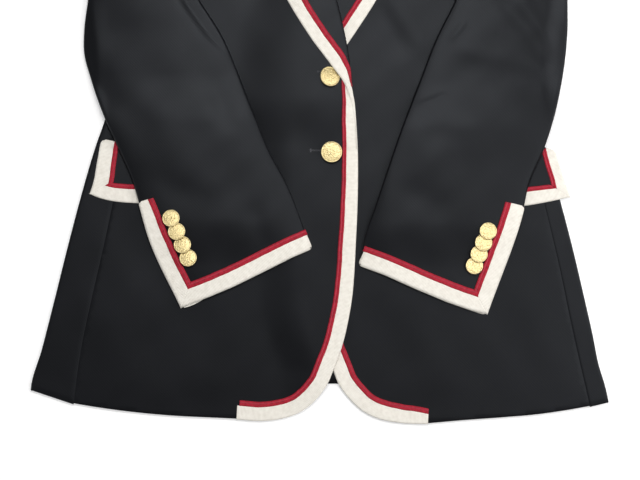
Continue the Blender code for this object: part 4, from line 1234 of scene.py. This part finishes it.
def add_sleeve(side):
    """A two-piece sleeve: the top one folds round both sides and the under one joins its edges."""
    inner, outer = sleeve_outline(side)
    width = np.linalg.norm(outer - inner, axis=1)
    across = unit(outer - inner)
    axis = unit(np.gradient((inner + outer) / 2, axis=0))
    near_cuff = 1 - ramp(np.arange(len(inner)), 0, CUFF_ROWS)
    ones = np.ones(len(inner))
    columns = []

    def column(reach, level, floor_reach=None):
        at = inner + across * reach[:, None]
        bow = cuff_bow(side, reach / width) - EDGE_RADIUS - CUFF_CLEAR
        at = at - axis * bow[:, None] * near_cuff[:, None]
        hold = inner + across * (reach if floor_reach is None else floor_reach)[:, None]
        columns.append(np.column_stack((at, sleeve_floor(hold[:, 0], hold[:, 1], side) + level)))

    for share in (1.0, 0.66, 0.33):
        column(INSEAM * share * ones, 0 * ones)
    turns = np.radians(np.linspace(-90, 90, 11))
    for turn in turns:
        column(FOLD_RADIUS * (1 - math.cos(turn)) * ones, FOLD_RADIUS * (1 + math.sin(turn)) * ones,
               FOLD_RADIUS * ones)
    first_face = len(columns) - 6
    for share in np.linspace(0, 1, 64)[1:-1]:
        reach = FOLD_RADIUS + share * (width - 2 * FOLD_RADIUS)
        at = inner + across * reach[:, None]
        swell = PUFF * math.sin(math.pi * share) ** PUFF_POWER
        sink = np.minimum(fold_depth(at[:, 0], at[:, 1], SLEEVE_FOLDS[side]), swell * FOLD_LIMIT)
        calm = SLEEVE_SWAY * min(1.0, SWAY_RISE * share, SWAY_RISE * (1 - share))
        uneven = sway(at[:, 0] + SLEEVE_SWAY_SHIFT, at[:, 1]) * calm
        column(reach, 2 * FOLD_RADIUS + swell - sink + uneven)
    for turn in turns[::-1]:
        column(width - FOLD_RADIUS * (1 - math.cos(turn)), FOLD_RADIUS * (1 + math.sin(turn)) * ones,
               width - FOLD_RADIUS)
    last_face = len(columns) - 5
    for share in (0.5, 1.0):
        column(width - OUTSEAM * share, 0 * ones)
    grid = np.stack(columns, axis=1)
    rests_on = [f"jacket_front_{side}", f"jacket_flap_{side}"]
    add_cloth(f"top_sleeve_{side}", wall(grid, CLOTH), *grid_cut(grid), "folded", rests_on)
    under = []
    for share in np.linspace(0, 1, 14):
        reach = INSEAM + GAP + share * (width - OUTSEAM - INSEAM - 2 * GAP)
        at = inner + across * reach[:, None]
        placed = at - axis * (cuff_bow(side, reach / width) * near_cuff * UNDER_BOW)[:, None]
        under.append(np.column_stack((placed, sleeve_floor(at[:, 0], at[:, 1], side) + CLOTH)))
    under = np.stack(under, axis=1)
    add_cloth(f"under_sleeve_{side}", wall(under, CLOTH), *grid_cut(under), "laid", rests_on)
    return Carrier(grid[:, first_face:last_face + 1]), inner[0], outer[0], axis[0]


def under_ribbon(side, inner, across, width, axis):
    """The under layer's ribbon, which peeks out below the cuff's outer corner."""
    rows = []
    for level in (0.0, 0.15, 0.3, 0.6, 1.0):
        row = []
        for run in np.linspace(0, 1, 20):
            low = -UNDER_RIBBON[side] * math.sin(math.pi * (0.12 + 0.78 * run) ** 1.4) ** 0.5
            reach = width - UNDER_RIBBON_BACK + UNDER_RIBBON_RUN * run
            x, y = inner + across * reach + axis * (low + (UNDER_RIBBON_TOP - low) * level)
            row.append((x, y, float(sleeve_floor(x, y, side) + CLOTH + UNDER_RIBBON_LIFT)))
        rows.append(row)
    return wall(np.array(rows), RIBBON)


def add_cuff_trim(side, sleeve, inner, outer, axis):
    """Ribbon and braid along the cuff and up the vent, with the under ribbon below."""
    share = np.linspace(0, 1, 90)
    cuff = inner + (outer - inner) * share[:, None] - axis * cuff_bow(side, share)[:, None]
    vent = through(SLEEVES[side]["outer"], RIBBON_STEP)
    length = np.concatenate(([0.0], np.cumsum(np.linalg.norm(np.diff(vent, axis=0), axis=1))))
    path = np.vstack((cuff, vent[length <= VENT][1:]))
    under = under_ribbon(side, inner, unit(outer - inner), np.linalg.norm(outer - inner), axis)
    ribbon_and_braid(f"cuff_{side}", f"cuff_{side}", path, SIGN[side], sleeve,
                     FOLD_RADIUS, wrap=CUFF_WRAP, extra=[under], end_corner=VENT_CORNER)


def add_flap(side):
    """A pocket flap with its trim along the lower and outer edges."""
    corner = FLAP_CORNER[side]
    outer, lower, inner = (through(stretch, RIBBON_STEP) for stretch in FLAPS[side])
    path = np.vstack((outer[:-1], lower[:-1], inner))
    top_run = inner[-1] - outer[0]
    cut_corner = outer[0] + top_run * corner / np.linalg.norm(top_run)
    loop = np.vstack((path[int(corner / RIBBON_STEP):-1], through([path[-1], cut_corner], 4.0)))
    add_laid(f"flap_{side}", loop, flap_top, FLAP_SPACING, [f"jacket_front_{side}"])
    ribbon_and_braid(f"flap_{side}", f"flap_{side}", path, -SIGN[side], Plain(flap_top), corner=corner)


def button_mesh(radius, height, seed):
    """A domed button with a raised rim and a hammered face, its middle at the origin."""
    turns = np.linspace(0, 2 * math.pi, BUTTON_SIDES, endpoint=False)
    dome = BUTTON_DOME * radius
    points = [(0, 0, dome)]
    for share in BUTTON_FACE * np.linspace(0, 1, BUTTON_RINGS + 1)[1:]:
        calm = min(1.0, (BUTTON_FACE - share) * 12)
        for turn in turns:
            x, y = share * radius * math.cos(turn), share * radius * math.sin(turn)
            grain = sum(high * noise.noise(Vector((x * rate, y * rate, seed + shift)))
                        for high, rate, shift in BUTTON_GRAIN)
            z = dome * (1 - share**2 * 1.25) + GRAIN_DEPTH * radius**2 * grain * calm
            points.append((x, y, z))
    for share, rise in BUTTON_RIM:
        for turn in turns:
            ripple = RIM_RIPPLE * math.sin(9 * turn + seed)
            points.append((share * radius * math.cos(turn), share * radius * math.sin(turn),
                           rise * height / 2 + ripple))
    rows = BUTTON_RINGS + len(BUTTON_RIM)
    points.append((0, 0, points[-1][2]))
    around = range(BUTTON_SIDES)
    last = 1 + (rows - 1) * BUTTON_SIDES
    faces = [[0, 1 + k, 1 + (k + 1) % BUTTON_SIDES] for k in around]
    faces += ring_faces(rows, BUTTON_SIDES, 1)
    faces += [[last + k, len(points) - 1, last + (k + 1) % BUTTON_SIDES] for k in around]
    return np.array(points, float), faces


def shank(radius, top, bottom):
    """A short closed stem below a button."""
    turns = np.linspace(0, 2 * math.pi, SHANK_SIDES, endpoint=False)
    points = [(radius * math.cos(turn), radius * math.sin(turn), z) for z in (top, bottom) for turn in turns]
    ends = [list(range(SHANK_SIDES)), list(range(2 * SHANK_SIDES - 1, SHANK_SIDES - 1, -1))]
    return np.array(points, float), ring_faces(2, SHANK_SIDES) + ends


def add_button(name, centre, radius, height, tilt, seed, stem):
    """A button at a place in the tables' millimetres, tilted by a rotation matrix."""
    parts = []
    for points, faces in (button_mesh(radius, height, seed), shank(SHANK * radius, -1.0, -stem)):
        parts.append((np.array([tuple(tilt @ Vector(point)) for point in points]) + centre, faces))
    piece(f"brass_{name}", parts, looks["metal"], name)


def node_place(name):
    """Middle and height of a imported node, in the tables' millimetres."""
    low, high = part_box(name)
    middle = (low + high) / 2
    return np.array((middle.x / MM, middle.y / MM + Y_SHIFT, high.z / MM))


def add_buttons():
    for number, (x, y) in enumerate(FRONT_BUTTONS, 1):
        z = node_place(f"front_button_{number}")[2] - FRONT_BUTTON_DROP
        lean, radius, stem = Matrix.Identity(3), FRONT_BUTTON_RADIUS, FRONT_BUTTON_STEM
        if number == 1:
            lean = Matrix.Rotation(TOP_BUTTON_LEAN, 3, Vector(LAPEL_RUN))
            z, radius, stem = z - TOP_BUTTON_SINK, TOP_BUTTON_RADIUS, TOP_BUTTON_STEM
        add_button(f"front_button_{number}", np.array((x, y, z)), radius, FRONT_BUTTON_HEIGHT, lean,
                   3.1 * number, stem)
    for side, side_seed in (("right", 0), ("left", 5)):
        places = [node_place(f"cuff_button_{side}_{number + 1}") for number in range(CUFF_BUTTONS)]
        up = unit(places[0][:2] - places[-1][:2])
        for number, place in enumerate(places, 1):
            turn = math.radians(CUFF_BUTTON_LEAN + 2 * (number % 3))
            add_button(f"cuff_button_{side}_{number}", place - (0, 0, CUFF_BUTTON_DROP), CUFF_BUTTON_RADIUS,
                       CUFF_BUTTON_HEIGHT, Matrix.Rotation(turn, 3, Vector((up[1], -up[0], 0))),
                       1.7 * number + side_seed, CUFF_BUTTON_STEM)


def stitch(start, end, radius, rise):
    """One closed arched thread between two points."""
    start, end = np.array(start, float), np.array(end, float)
    sideways = unit(np.cross(unit(end - start), (0, 0, 1.0)))
    up = np.array((0, 0, 1.0))
    points = []
    for share in np.linspace(0, 1, STITCH_ROWS):
        centre = start + (end - start) * share + up * rise * math.sin(math.pi * share)
        size = radius * (0.5 + 0.5 * math.sin(math.pi * share))
        for turn in 2 * math.pi * np.arange(STITCH_SIDES) / STITCH_SIDES:
            points.append(centre + sideways * size * math.cos(turn) + up * size * math.sin(turn))
    faces = ring_faces(STITCH_ROWS, STITCH_SIDES)
    faces += [list(range(STITCH_SIDES))[::-1], list(range(len(points) - STITCH_SIDES, len(points)))]
    return np.array(points), [face[::-1] for face in faces]


def add_buttonholes():
    """Stitched buttonholes beside the front buttons, with a bar across the outer end."""
    parts = []
    for x0, y, x1, barred in BUTTONHOLES:
        for x in np.arange(x0, x1, STITCH_STEP):
            z = float(front_top(x, y, "right")) + 0.12
            for turn in (-1, 1):
                parts.append(stitch((x, y + turn * 0.05, z), (x + 0.1, y + turn * 0.7, z - 0.1), 0.2, 0.12))
        if barred:
            z = float(front_top(x0, y, "right")) + 0.15
            for x in x0 - 0.4 + np.linspace(-0.5, 0.5, 4):
                parts.append(stitch((x, y - BAR_REACH, z), (x, y + BAR_REACH, z), 0.22, 0.2))
    piece("buttonhole_thread", parts, looks["thread"], None)


def add_camera():
    """Straight above the middle of the photo's frame."""
    data = bpy.data.cameras.new("camera")
    data.lens = LENS
    data.sensor_width = SENSOR
    data.clip_end = 50.0
    camera = bpy.data.objects.new("camera", data)
    distance = VIEW_WIDTH * LENS / SENSOR
    camera.location = (VIEW_MIDDLE[0] * MM, (VIEW_MIDDLE[1] - Y_SHIFT) * MM, (VIEW_PLANE + distance) * MM)
    bpy.context.scene.collection.objects.link(camera)
    bpy.context.scene.camera = camera


def add_area(name, place, target, size, power, colour):
    data = bpy.data.lights.new(name, "AREA")
    data.shape = "DISK"
    data.size = size
    data.energy = power
    data.color = colour
    light = bpy.data.objects.new(name, data)
    light.location = place
    light.rotation_mode = "QUATERNION"
    light.rotation_quaternion = (Vector(target) - Vector(place)).to_track_quat("-Z", "Y")
    bpy.context.scene.collection.objects.link(light)


def add_studio():
    """A pale floor, a pale sky and soft lamps from above the right shoulder of the picture."""
    scene = bpy.context.scene
    scene.view_settings.view_transform = "Standard"
    world = bpy.data.worlds.new("studio")
    world.use_nodes = True
    sky = world.node_tree.nodes["Background"]
    sky.inputs["Color"].default_value = (1.0, 1.0, 1.0, 1)
    sky.inputs["Strength"].default_value = SKY
    scene.world = world
    for lamp in LAMPS:
        add_area(*lamp)
    bpy.ops.mesh.primitive_plane_add(size=1)
    floor = bpy.context.object
    floor.name = "floor"
    floor.scale = (30, 30, 1)
    floor.location = (0, 0, FLOOR_LEVEL)
    made, tree, bsdf = shader("pale_floor", 0.9)
    soft = noise_at(tree, 8.0, object_place(tree), 2.0)
    colour_ramp(tree, bsdf, soft, (0.74, 0.74, 0.74), (0.76, 0.76, 0.76))
    bsdf.inputs["Emission Color"].default_value = (1.0, 1.0, 1.0, 1)
    bsdf.inputs["Emission Strength"].default_value = FLOOR_GLOW
    floor.data.materials.append(made)


def build():
    collar, seam = add_collar()
    front_end = FRONT_SECTIONS * COLLAR_STEPS
    back_neck = seam[front_end:len(seam) // 2 + 1][::-1]
    for side, front_seam in (("right", seam[:front_end + 1:2]), ("left", seam[::-1][:front_end + 1:2])):
        add_back(side, back_neck)
        add_side(side)
        add_front(side, front_seam, collar)
        add_flap(side)
        sleeve, inner, outer, axis = add_sleeve(side)
        add_cuff_trim(side, sleeve, inner, outer, axis)
    add_buttons()
    add_buttonholes()


add_camera()
looks = {
    "cloth": cloth_material(),
    "ribbon": ribbon_material(),
    "braid": braid_material(),
    "metal": metal_material(),
    "thread": thread_material(),
}
build()
add_studio()
